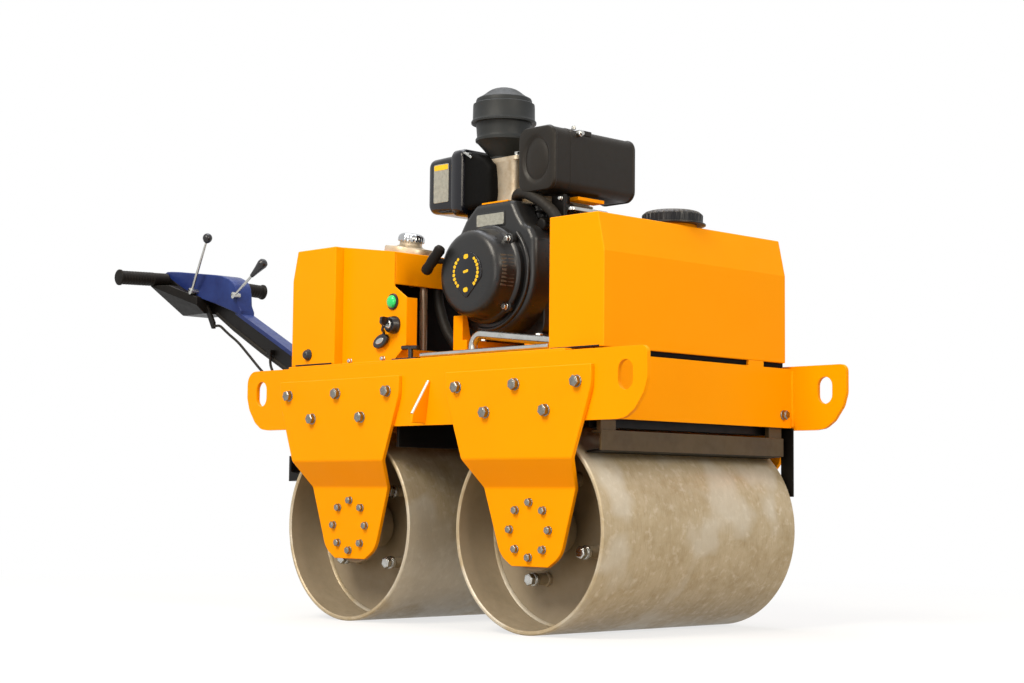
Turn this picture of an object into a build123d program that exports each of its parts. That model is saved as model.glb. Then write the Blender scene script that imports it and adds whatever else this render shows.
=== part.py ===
"""Walk-behind double-drum vibratory roller: frame, drums, engine, tanks and steering handle.

Millimetres. +X is the direction of travel, +Y is the machine's left, +Z is up and the floor is Z = 0.
Sizes along X are given from the point midway between the two drum axles. Every piece is moved by
frame_shift as it is written, so the origin is under the middle of the whole machine.
"""
from build123d import *
import math
import os

# ---------------------------------------------------------------- clearances
running_fit = 0.05        # radial, shaft in bearing bore
moving_gap = 6.0          # between pieces that move past each other
soft_gap = 0.3            # between pieces of different bodies that nearly touch
cut_margin = 1.0          # a cut runs this far past the faces it opens, and a weld this far into its plate

# ---------------------------------------------------------------- drums
wheelbase = 574.0
drum_radius = 213.0
drum_width = 614.0
drum_wall = 9.0
disc_depth = 108.0        # from the rim to the outer face of the end disc
disc_thickness = 10.0
drum_shaft_radius = 25.0
stud_count = 3
stud_circle_radius = 106.0
stud_radius = 13.0
stud_length = 50.0
stud_turn = -24.0         # degrees from level to the first stud

# ---------------------------------------------------------------- side plates
frame_half_width = 326.0  # to the outer faces of the side plates
plate_thickness = 10.0
plate_over_drum = 5.0     # from the drums' tops up to the plate's lower edge
plate_height = 141.0
plate_rear_reach = 359.0  # behind the rear axle
plate_front_reach = 342.0
plate_top_radius = 30.0
plate_bottom_radius = 72.0
ear_inset = 56.0          # from the plate's end to the middle of the lifting hole
ear_hole_width = 34.0
ear_hole_height = 66.0
ear_hole_rise = 86.0      # middle of the hole above the plate's lower edge
rib_thickness = 10.0
rib_rise = 3.0
rib_height = 94.0
# X of the rib's lower edge and of its upper edge
rib_foot = (-66.0, -21.0)
rib_head = (-43.0, 2.0)

# ---------------------------------------------------------------- fork legs
leg_thickness = 12.0
leg_inset = 44.0          # joggle towards the middle of the machine
leg_band_drop = 74.0      # from the side plate's lower edge down to the joggle
leg_band_height = 59.0
leg_rise = 110.0          # leg's top above the side plate's lower edge
leg_shoulder_rise = 69.0
leg_neck_drop = 3.0
leg_knee_drop = 53.0      # below the axle
leg_foot_drop = 75.0
# half widths of the leg: top and shoulder, neck, knee, foot
leg_half_widths = (216.0, 190.0, 87.0, 57.0)
# from the joggle's upper and lower corners to the drum's inner wall, beside the axle
leg_band_gaps = (41.0, 71.0)
leg_bolt_pitch = 174.0
leg_bolt_upper_rise = 77.0
leg_bolt_lower_rise = 22.0
leg_bolt_hole_radius = 8.5
hub_bolt_count = 8
hub_bolt_circle = 125.0
hub_bolt_hole_radius = 6.5

# ---------------------------------------------------------------- hubs
hub_flange_radius = 84.0
hub_flange_thickness = 14.0
hub_body_radius = 50.0
hub_rear_gap = 12.0       # between the hub body and the drum's end disc
hub_bore_floor = 8.0
shaft_end_gap = 6.0

# ---------------------------------------------------------------- cross members and deck
cross_front_reach = 198.0  # from the front axle to the plate's outer face
cross_rear_reach = 221.0
cross_thickness = 10.0
cross_low_inset = 5.0     # inside the side plate's lower edge
cross_high_inset = 6.0
deck_thickness = 12.0
deck_rear_inset = 8.0
deck_under_tank = 68.0
spacer_height = 12.0
spacer_length = 30.0
spacer_y = (165.0, 216.0)
beam_half_length = 110.0
beam_drop = 45.0          # below the side plate's lower edge
beam_web = 10.0
beam_cheek = 8.0

# ---------------------------------------------------------------- water tank
tank_half_width = 293.0
tank_length = 153.0
tank_height = 272.0
tank_bevel_drop = 80.0
tank_bevel_back = 18.0
tank_cap_radius = 68.0
tank_cap_height = 34.0
tank_neck_radius = 52.0
tank_neck_height = 8.0
tank_cap_from_rear = 78.0

# ---------------------------------------------------------------- rear cover and hood
cover_from_cross = 15.0
cover_length = 157.0
cover_half_width = 313.0
cover_height = 271.0
cover_bevel_drop = 69.0
cover_bevel_back = 17.0
hood_length = 179.0
hood_half_width = 289.0
hood_front_height = 246.0
hood_skin = 4.0
hood_lip = 30.0
hood_face_drop = 73.0
tab_reach = 43.0
tab_bottom = 34.0
tab_top = 168.0
tab_front_top = 140.0
tab_flange = 32.0
oil_tank_length = 114.0
oil_tank_side_gap = 27.0  # inside the hood's sides
oil_tank_height = 214.0
filler_from_front = 83.0
filler_y = -172.0
filler_flange_radius = 60.0
filler_flange = 6.0
filler_cap_radius = 29.0
filler_cap_height = 22.0
filler_cap_edge = 6.0
lamp_from_front = 2.0     # behind the hood's front face
lamp_rise = 134.0         # above the deck
lamp_radius = 13.0
lamp_bezel = 3.0
lamp_proud = 12.0
key_from_front = -4.0
key_rise = 81.0
key_radius = 15.0
key_proud = 14.0

# ---------------------------------------------------------------- engine
crank_x = 28.0
engine_rise = 46.0        # block's base above the deck
crank_rise = 143.0        # above the base
engine_rear_reach = 94.0  # behind the crankshaft
engine_front_reach = 112.0
engine_left = 170.0
crankcase_height = 226.0
shroud_face = -170.0
shroud_depth = 58.0
shroud_radius = 137.0
shroud_height = 306.0     # top above the base
shroud_top_half = 64.0
recoil_flange_radius = 108.0
recoil_radius = 92.0
recoil_depth = 70.0
recoil_flange = 14.0
recoil_edge = 5.0
starter_grip_length = 78.0
starter_grip_radius = 11.0
starter_grip_tilt = 45.0  # degrees from upright, top towards the engine
starter_grip_reach = 111.0
starter_grip_rise = 23.0
starter_neck_radius = 5.0
head_rear_reach = 46.0
head_front_reach = 56.0
head_right = -122.0
head_left = 96.0
head_height = 76.0
fin_depth = 8.0
fin_thickness = 5.0
fin_count = 5
elbow_height = 30.0
elbow_half_width = 24.0
cleaner_right = -152.0
cleaner_left = 30.0
cleaner_edge = 16.0
# air cleaner's cover, rim and body: length, top and bottom above the shroud's top, and how far it stands out
cleaner_sections = [(77.0, 110.0, -9.0, 0.0), (45.0, 120.0, -14.0, 7.0), (65.0, 100.0, 0.0, 0.0)]
precleaner_from_rear = 10.0
# radius and height above the elbow
precleaner_profile = [(27, 0), (27, 4), (52, 26), (60, 34), (60, 74), (70, 74), (70, 82), (67, 86), (67, 112),
                      (60, 120), (58, 134), (36, 154), (18, 162)]
muffler_gap = 6.0
muffler_length = 112.0
muffler_right = -149.0
muffler_left = 117.0
muffler_rise = 13.0       # above the shroud's top
muffler_height = 144.0
muffler_edge = 24.0
muffler_rim = 6.0
exhaust_radius = 22.0
exhaust_y = -20.0
rear_mount_inset = 9.0
front_mount_inset = 10.0
mount_width = 31.0
mount_right = -200.0
mount_left = 190.0
gusset_height = 55.0
gusset_crest = 6.0
pump_flange_radius = 62.0
pump_flange = 12.0
pump_radius = 46.0
pump_length = 78.0
pump_drop = 37.0          # pump axis below the crankshaft
valve_half = 30.0
valve_height = 52.0

# ---------------------------------------------------------------- pipes and hose
water_pipe_radius = 10.0
water_pipe_x = 50.0
water_pipe_y = -240.0
water_pipe_rise = 53.0
water_pipe_end_rise = 21.0
water_pipe_bend = 26.0
side_pipe_radius = 6.0
side_pipe_start = -60.0
side_pipe_y = -290.0
side_pipe_rise = 8.0
riser_radius = 9.0
riser_from_front = 21.0   # behind the hood's front face
riser_y = -182.0
riser_rise = 188.0
riser_bend = 20.0
hose_radius = 12.0
hose_y = -140.0
hose_turn = 22.5          # degrees at each of its two corners
hose_from_front = 19.0
hose_rise = 192.0
hose_runs = (45.4, 75.0, 72.5)
fitting_half = 16.0
fitting_height = 20.0
fitting_base = 46.0

# ---------------------------------------------------------------- scrapers and guard
scraper_half_width = 292.0
scraper_thickness = 8.0
front_scraper_inset = 5.0
front_scraper_drop = 24.0
front_scraper_height = 50.0
front_blade_drops = (14.0, 5.0)   # lower and upper corner of the blade below the bar
rear_scraper_offset = 14.0
rear_scraper_drop = 65.0
rear_scraper_height = 59.0
rear_blade_rises = (4.0, 14.0)    # lower and upper corner of the blade above the bar's lower edge
bracket_width = 30.0
hanger_width = 40.0
hanger_inset = 50.0
hanger_overlap = 40.0     # along the bar and along the cross plate
guard_from_face = 29.0
guard_length = 34.0
guard_drop = 150.0
guard_thickness = 3.0

# ---------------------------------------------------------------- handle
pivot_reach = 82.0        # behind the rear cross plate
pivot_rise = 51.0         # above the side plate's lower edge
pivot_radius = 12.0
pivot_boss_radius = 26.0
pivot_ear_radius = 30.0
pivot_ear_thickness = 12.0
pivot_pin_proud = 6.0
bracket_base = 8.0
bracket_margin = 12.0     # base plate beyond the ears
web_rise = 45.0           # ear's upper root above the middle of the cross plate
stop_radius = 6.0
stop_reach = 40.0         # along the arm from the pivot
arm_half_width = 18.0
arm_half_depth = 21.0
cap_thickness = 3.0       # painted cap over the arm's top
cap_skirt = 26.0
cap_start = 46.0
crossbar_reach = 766.0    # behind the pivot
crossbar_rise = 384.0
crossbar_half_length = 240.0
crossbar_radius = 15.0
grip_length = 100.0
grip_radius = 18.0
grip_flange_radius = 22.0
grip_flange = 8.0
grip_end = 4.0
# the console, its box and the levers are placed from the crossbar's middle, X forwards and Z up
console_back = -18.0
console_nose_reach = 246.0
console_rear_rise = 36.0
console_rear_edge = 14.0
console_top_end = (176.0, 9.0)
console_brow = (232.0, -13.0)
console_chin = (134.0, -58.0)
# plan of the console: X, half width
console_plan = [(console_back, 86.0), (0.0, 85.0), (86.0, 70.0), (156.0, 38.0), (console_nose_reach, 25.0)]
# joint between the console and the box below it: X, Z
console_seam = [(console_back, -15.5), (46.0, -15.5), (94.0, -37.0), (120.0, -50.0)]
box_back = -4.0
box_foot_back = 16.0
box_reach = 120.0
box_drop = 93.0
box_bottom_half = 43.0
box_front_half = 70.0
box_slope = 1.262         # sideways run of the box's side for each unit of height
# each lever's base X, Z and tip X, Z, then its Y
travel_lever_line = (102.0, -34.0, 175.0, 106.0)
travel_lever_y = -78.0
travel_lever_inner = -38.0
travel_ball_radius = 12.5
throttle_lever_line = (242.0, -51.0, 320.0, -3.0)
throttle_lever_y = -33.0
throttle_knob_length = 62.0
throttle_knob_radii = (5.0, 11.0)
lever_rod_radius = 3.5
lever_boss_radius = 9.0
cable_radius = 3.5
cable_bracket_y = (-38.0, -30.0)
cable_bracket_rise = 26.0
# clips on the arm's right side, X and Z from the pivot: low and high X, outer Y, low and high Z
middle_clip = ((-378.0, -360.0), -32.0, (164.0, 178.0))
lower_clip = ((-110.0, -90.0), -40.0, (18.0, 40.0))
# the cables' points from the pivot, chosen along their real route
upper_cable = [(-610, -34, 255), (-586, -34, 255), (-545, -34, 229), (-502, -34, 206), (-448, -34, 165),
               (-393, -34, 122), (-335, -34, 89), (-270, -34, 63), (-210, -34, 46), (-155, -34, 34),
               (-110, -34, 34)]
lower_cable = [(-369, -25, 164), (-369, -25, 139), (-348, -25, 106), (-306, -25, 78), (-250, -25, 56),
               (-198, -25, 36), (-150, -25, 24), (-110, -25, 24)]

# ---------------------------------------------------------------- derived places
axle_z = drum_radius
half_base = wheelbase / 2
half_drum = drum_width / 2
disc_face = half_drum - disc_depth

plate_inner = frame_half_width - plate_thickness
plate_bottom = 2 * drum_radius + plate_over_drum
plate_top = plate_bottom + plate_height
plate_rear_end = -half_base - plate_rear_reach
plate_front_end = half_base + plate_front_reach
ear_hole_middle = plate_bottom + ear_hole_rise

leg_outer_top = frame_half_width + leg_thickness
leg_inner_bottom = frame_half_width - leg_inset
leg_outer_bottom = leg_inner_bottom + leg_thickness
leg_top = plate_bottom + leg_rise
leg_band_top = plate_bottom - leg_band_drop
leg_band_bottom = leg_band_top - leg_band_height
leg_bottom = axle_z - leg_foot_drop
hub_inner = disc_face + hub_rear_gap

cross_front_face = half_base + cross_front_reach
cross_rear_face = -half_base - cross_rear_reach
cross_bottom = plate_bottom + cross_low_inset
cross_top = plate_top - cross_high_inset
deck_top = cross_top + deck_thickness
tank_rear = cross_front_face - tank_length
tank_top = deck_top + tank_height
cover_rear = cross_rear_face + cover_from_cross
cover_front = cover_rear + cover_length
cover_top = deck_top + cover_height
hood_front = cover_front + hood_length
oil_tank_front = cover_front + oil_tank_length
oil_tank_half_width = hood_half_width - oil_tank_side_gap

engine_base = deck_top + engine_rise
crank_z = engine_base + crank_rise
engine_rear = crank_x - engine_rear_reach
engine_front = crank_x + engine_front_reach
engine_right = shroud_face + shroud_depth
shroud_top = engine_base + shroud_height
head_rear = crank_x - head_rear_reach
head_front = crank_x + head_front_reach
head_top = shroud_top + head_height
precleaner_x = head_rear + precleaner_from_rear
precleaner_y = head_right + elbow_half_width
muffler_rear = head_front + muffler_gap
muffler_bottom = shroud_top + muffler_rise

front_scraper_face = cross_front_face - front_scraper_inset
front_scraper_top = cross_bottom - front_scraper_drop
front_scraper_bottom = front_scraper_top - front_scraper_height
rear_scraper_face = cross_rear_face - rear_scraper_offset
rear_scraper_top = cross_bottom - rear_scraper_drop
rear_scraper_bottom = rear_scraper_top - rear_scraper_height

pivot_x = cross_rear_face - pivot_reach
pivot_z = plate_bottom + pivot_rise
crossbar_x = pivot_x - crossbar_reach
crossbar_z = pivot_z + crossbar_rise
arm_rise = math.atan2(crossbar_rise, crossbar_reach)
arm_pitch = math.degrees(arm_rise)
arm_length = math.hypot(crossbar_rise, crossbar_reach)
cap_half_width = arm_half_width + cap_thickness
ear_inner = cap_half_width + moving_gap
console_nose = crossbar_x + console_nose_reach
box_front = crossbar_x + box_reach
box_bottom = crossbar_z - box_drop
grip_rear = crossbar_x - grip_flange_radius
frame_shift = -(plate_front_end + grip_rear) / 2


# ---------------------------------------------------------------- helpers
def block(x, y, z):
    """Box between two X values, two Y values and two Z values."""
    size = (x[1] - x[0], y[1] - y[0], z[1] - z[0])
    middle = Pos((x[0] + x[1]) / 2, (y[0] + y[1]) / 2, (z[0] + z[1]) / 2)
    return middle * Box(*size)


def rod_x(radius, x, y, z):
    """Round bar along X between two X values."""
    return Pos((x[0] + x[1]) / 2, y, z) * Rot(0, 90, 0) * Cylinder(radius, x[1] - x[0])


def rod_y(radius, x, y, z):
    """Round bar along Y between two Y values."""
    return Pos(x, (y[0] + y[1]) / 2, z) * Rot(90, 0, 0) * Cylinder(radius, y[1] - y[0])


def rod_z(radius, x, y, z):
    """Round bar along Z between two Z values."""
    return Pos(x, y, (z[0] + z[1]) / 2) * Cylinder(radius, z[1] - z[0])


def side_plate_shape(points, y):
    """Flat piece with its outline in the XZ plane, between two Y values."""
    outline = Polyline(*[(px, y[0], pz) for px, pz in points], close=True)
    return extrude(make_face(outline), y[1] - y[0], dir=(0, 1, 0))


def cross_shape(points, x):
    """Piece with its outline in the YZ plane, between two X values."""
    outline = Polyline(*[(x[0], py, pz) for py, pz in points], close=True)
    return extrude(make_face(outline), x[1] - x[0], dir=(1, 0, 0))


def lathe(profile, x, y, axis="z", base=0.0, direction=1):
    """Turned piece: profile is (radius, height) pairs, closed along the axis."""
    radii = [(0, profile[0][1])] + list(profile) + [(0, profile[-1][1])]
    face = make_face(Polyline(*[(r, 0, h) for r, h in radii], close=True))
    solid = revolve(face, Axis.Z)
    if axis == "y":
        solid = Rot(-90 * direction, 0, 0) * solid
        return Pos(x, y, base) * solid
    return Pos(x, y, base) * solid


def past(y):
    """The same two values, each moved out by the cut's margin."""
    return y[0] - cut_margin, y[1] + cut_margin


def left_copy(shape):
    """Mirror image on the machine's left side."""
    return mirror(shape, about=Plane.XZ)


def save(name, shape):
    """Write one node, a shape or a list of separate ones, moved to the machine's origin."""
    pieces = shape if isinstance(shape, list) else [shape]
    solids = [Pos(frame_shift, 0, 0) * solid for piece in pieces for solid in piece.solids()]
    export_step(Compound(children=solids, label=name), f"parts/{name}.step")


# ---------------------------------------------------------------- drums
def drum(axle_x):
    """Steel shell with two recessed end discs, its through shaft and three studs at each end."""
    shell = rod_y(drum_radius, axle_x, (-half_drum, half_drum), axle_z)
    shell -= rod_y(drum_radius - drum_wall, axle_x, past((-half_drum, half_drum)), axle_z)
    whole = shell
    for side in (-1, 1):
        near, far = sorted((side * (disc_face - disc_thickness), side * disc_face))
        whole += rod_y(drum_radius - drum_wall + cut_margin / 2, axle_x, (near, far), axle_z)
        for turn in range(stud_count):
            angle = math.radians(stud_turn + turn * 360 / stud_count)
            x = axle_x + stud_circle_radius * math.cos(angle)
            z = axle_z + stud_circle_radius * math.sin(angle)
            tip = sorted((side * (disc_face - cut_margin), side * (disc_face + stud_length)))
            whole += rod_y(stud_radius, x, tip, z)
    shaft_half = leg_inner_bottom - hub_bore_floor - shaft_end_gap
    whole += rod_y(drum_shaft_radius, axle_x, (-shaft_half, shaft_half), axle_z)
    return whole


# ---------------------------------------------------------------- frame
def side_plate():
    """Right side plate: rounded bar with a lifting hole in each ear and a welded rib."""
    y = (-frame_half_width, -plate_inner)
    plate = block((plate_rear_end, plate_front_end), y, (plate_bottom, plate_top))
    upright = plate.edges().filter_by(Axis.Y)
    low = upright.group_by(Axis.Z)[0]
    high = upright.group_by(Axis.Z)[-1]
    plate = fillet(low, plate_bottom_radius)
    upright = plate.edges().filter_by(Axis.Y)
    corner_tops = [e for e in upright if math.isclose(e.center().Z, plate_top)]
    plate = fillet(corner_tops, plate_top_radius)
    slot_half = (ear_hole_height - ear_hole_width) / 2
    for x in (plate_rear_end + ear_inset, plate_front_end - ear_inset):
        cut_y = past(y)
        plate -= rod_y(ear_hole_width / 2, x, cut_y, ear_hole_middle + slot_half)
        plate -= rod_y(ear_hole_width / 2, x, cut_y, ear_hole_middle - slot_half)
        plate -= block((x - ear_hole_width / 2, x + ear_hole_width / 2), cut_y,
                       (ear_hole_middle - slot_half, ear_hole_middle + slot_half))
    for x, z in leg_bolt_places(-half_base) + leg_bolt_places(half_base):
        plate -= rod_y(leg_bolt_hole_radius, x, cut_y, z)
    low, high = plate_bottom + rib_rise, plate_bottom + rib_rise + rib_height
    rib = [(rib_foot[0], low), (rib_foot[1], low), (rib_head[1], high), (rib_head[0], high)]
    plate += side_plate_shape(rib, (-frame_half_width - rib_thickness, -frame_half_width))
    return plate


def leg_bolt_places(axle_x):
    """Bolt places of one leg: three above and two below, in a W."""
    upper = [(axle_x + k * leg_bolt_pitch, plate_bottom + leg_bolt_upper_rise) for k in (-1, 0, 1)]
    lower = [(axle_x + k * leg_bolt_pitch / 2, plate_bottom + leg_bolt_lower_rise) for k in (-1, 1)]
    return upper + lower


def fork_leg(axle_x):
    """Right leg: bent plate that carries one drum's bearing, bolted to the side plate's outside."""
    section = [
        (-leg_outer_top, leg_top), (-leg_outer_top, leg_band_top), (-leg_outer_bottom, leg_band_bottom),
        (-leg_outer_bottom, leg_bottom), (-leg_inner_bottom, leg_bottom),
        (-leg_inner_bottom, leg_band_bottom), (-frame_half_width, leg_band_top), (-frame_half_width, leg_top),
    ]
    top_half, neck_half, knee_half, foot_half = leg_half_widths
    band_half, shin_half = [drum_radius - drum_wall - gap for gap in leg_band_gaps]
    bent = cross_shape(section, (axle_x - top_half, axle_x + top_half))
    half_widths = [(top_half, leg_top), (top_half, plate_bottom + leg_shoulder_rise),
                   (neck_half, plate_bottom - leg_neck_drop), (band_half, leg_band_top),
                   (shin_half, leg_band_bottom), (knee_half, axle_z - leg_knee_drop), (foot_half, leg_bottom)]
    front_edge = [(axle_x + w, z) for w, z in half_widths]
    rear_edge = [(axle_x - w, z) for w, z in reversed(half_widths)]
    outline = side_plate_shape(front_edge + rear_edge, past((-leg_outer_top, -leg_inner_bottom)))
    leg = bent & outline
    for x, z in leg_bolt_places(axle_x):
        leg -= rod_y(leg_bolt_hole_radius, x, past((-leg_outer_top, -frame_half_width)), z)
    for turn in range(hub_bolt_count):
        angle = turn * 2 * math.pi / hub_bolt_count
        x = axle_x + hub_bolt_circle / 2 * math.cos(angle)
        z = axle_z + hub_bolt_circle / 2 * math.sin(angle)
        leg -= rod_y(hub_bolt_hole_radius, x, past((-leg_outer_bottom, -leg_inner_bottom)), z)
    return leg


def hub(axle_x):
    """Right bearing hub: flange against the leg and a body that holds the drum's shaft."""
    flange_y = (-leg_inner_bottom, -leg_inner_bottom + hub_flange_thickness)
    flange = rod_y(hub_flange_radius, axle_x, flange_y, axle_z)
    body = rod_y(hub_body_radius, axle_x, (-leg_inner_bottom, -hub_inner), axle_z)
    return flange + body - rod_y(drum_shaft_radius + running_fit, axle_x,
                                 (-leg_inner_bottom + hub_bore_floor, -hub_inner + cut_margin), axle_z)


def front_cross_plate():
    """Plate between the front ears, with the spacer that carries the tank's front edge."""
    plate = block((cross_front_face - cross_thickness, cross_front_face), (-plate_inner, plate_inner),
                  (cross_bottom, cross_top))
    for side in (-1, 1):
        y = sorted((side * spacer_y[0], side * spacer_y[1]))
        plate += block((cross_front_face - spacer_length, cross_front_face), y,
                       (cross_top - cut_margin, cross_top + spacer_height))
    return plate


def rear_cross_plate():
    """Plate between the rear ears."""
    face = cross_rear_face
    return block((face, face + cross_thickness), (-plate_inner, plate_inner), (cross_bottom, cross_top))


def arm_place(along, above):
    """X and Z of a point of the handle: distance along its middle line from the pivot, and above it."""
    x = pivot_x - along * math.cos(arm_rise) + above * math.sin(arm_rise)
    z = pivot_z + along * math.sin(arm_rise) + above * math.cos(arm_rise)
    return x, z


def pivot_bracket():
    """Bracket on the rear cross plate: two ears for the handle's pin and the rest under its arm."""
    face = cross_rear_face - bracket_base
    ear_outer = ear_inner + pivot_ear_thickness
    middle = (cross_bottom + cross_top) / 2
    half = ear_outer + bracket_margin
    bracket = block((face, cross_rear_face), (-half, half), (cross_bottom, cross_top))
    stop_x, stop_z = arm_place(stop_reach, -arm_half_depth - stop_radius - soft_gap)
    for side in (-1, 1):
        y = sorted((side * ear_inner, side * ear_outer))
        web = [(face + cut_margin, cross_bottom), (pivot_x, pivot_z - pivot_ear_radius),
               (pivot_x, pivot_z + pivot_ear_radius), (face + cut_margin, middle + web_rise)]
        ear = side_plate_shape(web, y) + rod_y(pivot_ear_radius, pivot_x, y, pivot_z)
        foot = [(pivot_x, pivot_z - pivot_ear_radius), (stop_x, stop_z - 2 * stop_radius),
                (stop_x - 2 * stop_radius, stop_z), (stop_x - stop_radius, stop_z + 1.5 * stop_radius),
                (pivot_x, pivot_z + pivot_ear_radius / 2)]
        ear += side_plate_shape(foot, y)
        bracket += ear - rod_y(pivot_radius + running_fit, pivot_x, past(y), pivot_z)
    return bracket + rod_y(stop_radius, stop_x, past((-ear_inner, ear_inner)), stop_z)


def engine_deck():
    """Deck plate between the side plates with the engine's opening left plain."""
    x = (cross_rear_face + deck_rear_inset, tank_rear + deck_under_tank)
    return block(x, (-plate_inner, plate_inner), (cross_top, deck_top))


def centre_beam():
    """Channel across the machine, between the drums, that ties the side plates."""
    y = (-plate_inner, plate_inner)
    web = block((-beam_half_length, beam_half_length), y, (cross_top - beam_web, cross_top))
    for side in (-1, 1):
        x = sorted((side * (beam_half_length - beam_cheek), side * beam_half_length))
        web += block(x, y, (plate_bottom - beam_drop, cross_top))
    return web


# ---------------------------------------------------------------- tanks and covers
def water_tank():
    """Front water tank: the top of its front face leans back."""
    outline = [(tank_rear, deck_top), (cross_front_face, deck_top),
               (cross_front_face, tank_top - tank_bevel_drop),
               (cross_front_face - tank_bevel_back, tank_top), (tank_rear, tank_top)]
    tank = side_plate_shape(outline, (-tank_half_width, tank_half_width))
    neck = (tank_top - cut_margin, tank_top + tank_neck_height)
    return tank + rod_z(tank_neck_radius, tank_rear + tank_cap_from_rear, 0, neck)


def tank_cap():
    """Large screw cap of the water tank."""
    low = tank_top + tank_neck_height
    return rod_z(tank_cap_radius, tank_rear + tank_cap_from_rear, 0, (low, low + tank_cap_height))


def rear_cover():
    """Closed rear housing: the top of its rear face leans forwards."""
    outline = [(cover_rear, deck_top), (cover_front, deck_top), (cover_front, cover_top),
               (cover_rear + cover_bevel_back, cover_top), (cover_rear, cover_top - cover_bevel_drop)]
    return side_plate_shape(outline, (-cover_half_width, cover_half_width))


def hood_top_at(x):
    """Height of the hood's outer top at one X."""
    share = (x - cover_front) / (hood_front - cover_front)
    return cover_top + share * (hood_front_height - cover_height)


def hood():
    """Hood over the oil tank: sloping top, a short face under its front edge and a lip on the deck."""
    inner = hood_half_width - hood_skin
    top = [(cover_front, hood_top_at(cover_front)), (hood_front, hood_top_at(hood_front)),
           (hood_front, hood_top_at(hood_front) - hood_face_drop),
           (hood_front - hood_skin, hood_top_at(hood_front) - hood_face_drop),
           (hood_front - hood_skin, hood_top_at(hood_front) - hood_skin),
           (cover_front, hood_top_at(cover_front) - hood_skin)]
    shape = side_plate_shape(top, (-inner, inner))
    lip = block((hood_front - hood_skin, hood_front), (-inner, inner), (deck_top, deck_top + hood_lip))
    return [shape, lip]


def hood_side():
    """Right wall of the hood, with the control tab and its folded flange at the front."""
    y = (-hood_half_width, -hood_half_width + hood_skin)
    tab_front = hood_front + tab_reach
    outline = [(cover_front, deck_top), (hood_front, deck_top), (tab_front, deck_top + tab_bottom),
               (tab_front, deck_top + tab_front_top), (hood_front, deck_top + tab_top),
               (hood_front, hood_top_at(hood_front)), (cover_front, hood_top_at(cover_front))]
    wall = side_plate_shape(outline, y)
    wall += block((tab_front - hood_skin, tab_front), (y[0], y[0] + tab_flange),
                  (deck_top + tab_bottom, deck_top + tab_front_top))
    return wall


def hood_side_left():
    """Left wall of the hood, without a control tab."""
    outline = [(cover_front, deck_top), (hood_front, deck_top), (hood_front, hood_top_at(hood_front)),
               (cover_front, hood_top_at(cover_front))]
    return side_plate_shape(outline, (hood_half_width - hood_skin, hood_half_width))


def panel_switches():
    """Lamp and key switch on the hood's right wall."""
    wall = -hood_half_width
    lamp_x, lamp_z = hood_front - lamp_from_front, deck_top + lamp_rise
    lamp = rod_y(lamp_radius + lamp_bezel, lamp_x, (wall - lamp_proud / 2, wall), lamp_z)
    lamp += rod_y(lamp_radius, lamp_x, (wall - lamp_proud, wall - cut_margin), lamp_z)
    key = rod_y(key_radius, hood_front - key_from_front, (wall - key_proud, wall), deck_top + key_rise)
    return [lamp, key]


# ---------------------------------------------------------------- filler, oil tank
def oil_tank():
    """Plain oil tank under the hood."""
    return block((cover_front, oil_tank_front), (-oil_tank_half_width, oil_tank_half_width),
                 (deck_top, deck_top + oil_tank_height))


def filler():
    """Filler flange on the hood's sloping top, and the breather cap on it."""
    fall = hood_top_at(cover_front) - hood_top_at(hood_front)
    slope = math.degrees(math.atan2(fall, hood_front - cover_front))
    x = hood_front - filler_from_front
    seat = Pos(x, filler_y, hood_top_at(x)) * Rot(0, slope, 0)
    flange = seat * Pos(0, 0, filler_flange / 2) * Cylinder(filler_flange_radius, filler_flange)
    rim = filler_flange + filler_cap_edge
    top = rim + filler_cap_height
    neck = filler_cap_radius - filler_cap_edge
    profile = [(0, filler_flange), (neck, filler_flange), (neck, rim), (filler_cap_radius, rim),
               (filler_cap_radius, top - filler_cap_edge), (neck, top), (0, top)]
    cap = seat * revolve(make_face(Polyline(*[(r, 0, h) for r, h in profile], close=True)), Axis.Z)
    return flange, cap


# ---------------------------------------------------------------- engine
def engine_block():
    """Crankcase with the cooled barrel above it, as one plain block."""
    y = (engine_right, engine_left)
    crankcase_top = engine_base + crankcase_height
    crankcase = block((engine_rear, engine_front), y, (engine_base, crankcase_top))
    return crankcase + block((head_rear, head_front), y, (crankcase_top - cut_margin, shroud_top))


def fan_shroud():
    """Pear-shaped fan shroud: a round bottom with straight sides to a narrower flat top."""
    y = (shroud_face, engine_right)
    rise = shroud_top - crank_z
    reach = math.hypot(shroud_top_half, rise)
    angle = math.atan2(rise, shroud_top_half) - math.acos(shroud_radius / reach)
    side_x, side_z = shroud_radius * math.cos(angle), shroud_radius * math.sin(angle)
    outline = [(crank_x + side_x, crank_z + side_z), (crank_x + shroud_top_half, shroud_top),
               (crank_x - shroud_top_half, shroud_top), (crank_x - side_x, crank_z + side_z),
               (crank_x, crank_z)]
    return rod_y(shroud_radius, crank_x, y, crank_z) + side_plate_shape(outline, y)


def recoil_starter():
    """Stepped round cover of the recoil starter on the fan shroud."""
    steps = [(recoil_flange_radius, 0), (recoil_flange_radius, recoil_flange),
             (recoil_radius + recoil_edge, 2 * recoil_flange), (recoil_radius, 3 * recoil_flange),
             (recoil_radius, recoil_depth - recoil_edge), (recoil_radius - recoil_edge, recoil_depth)]
    return lathe(steps, crank_x, shroud_face, "y", crank_z, -1)


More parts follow.
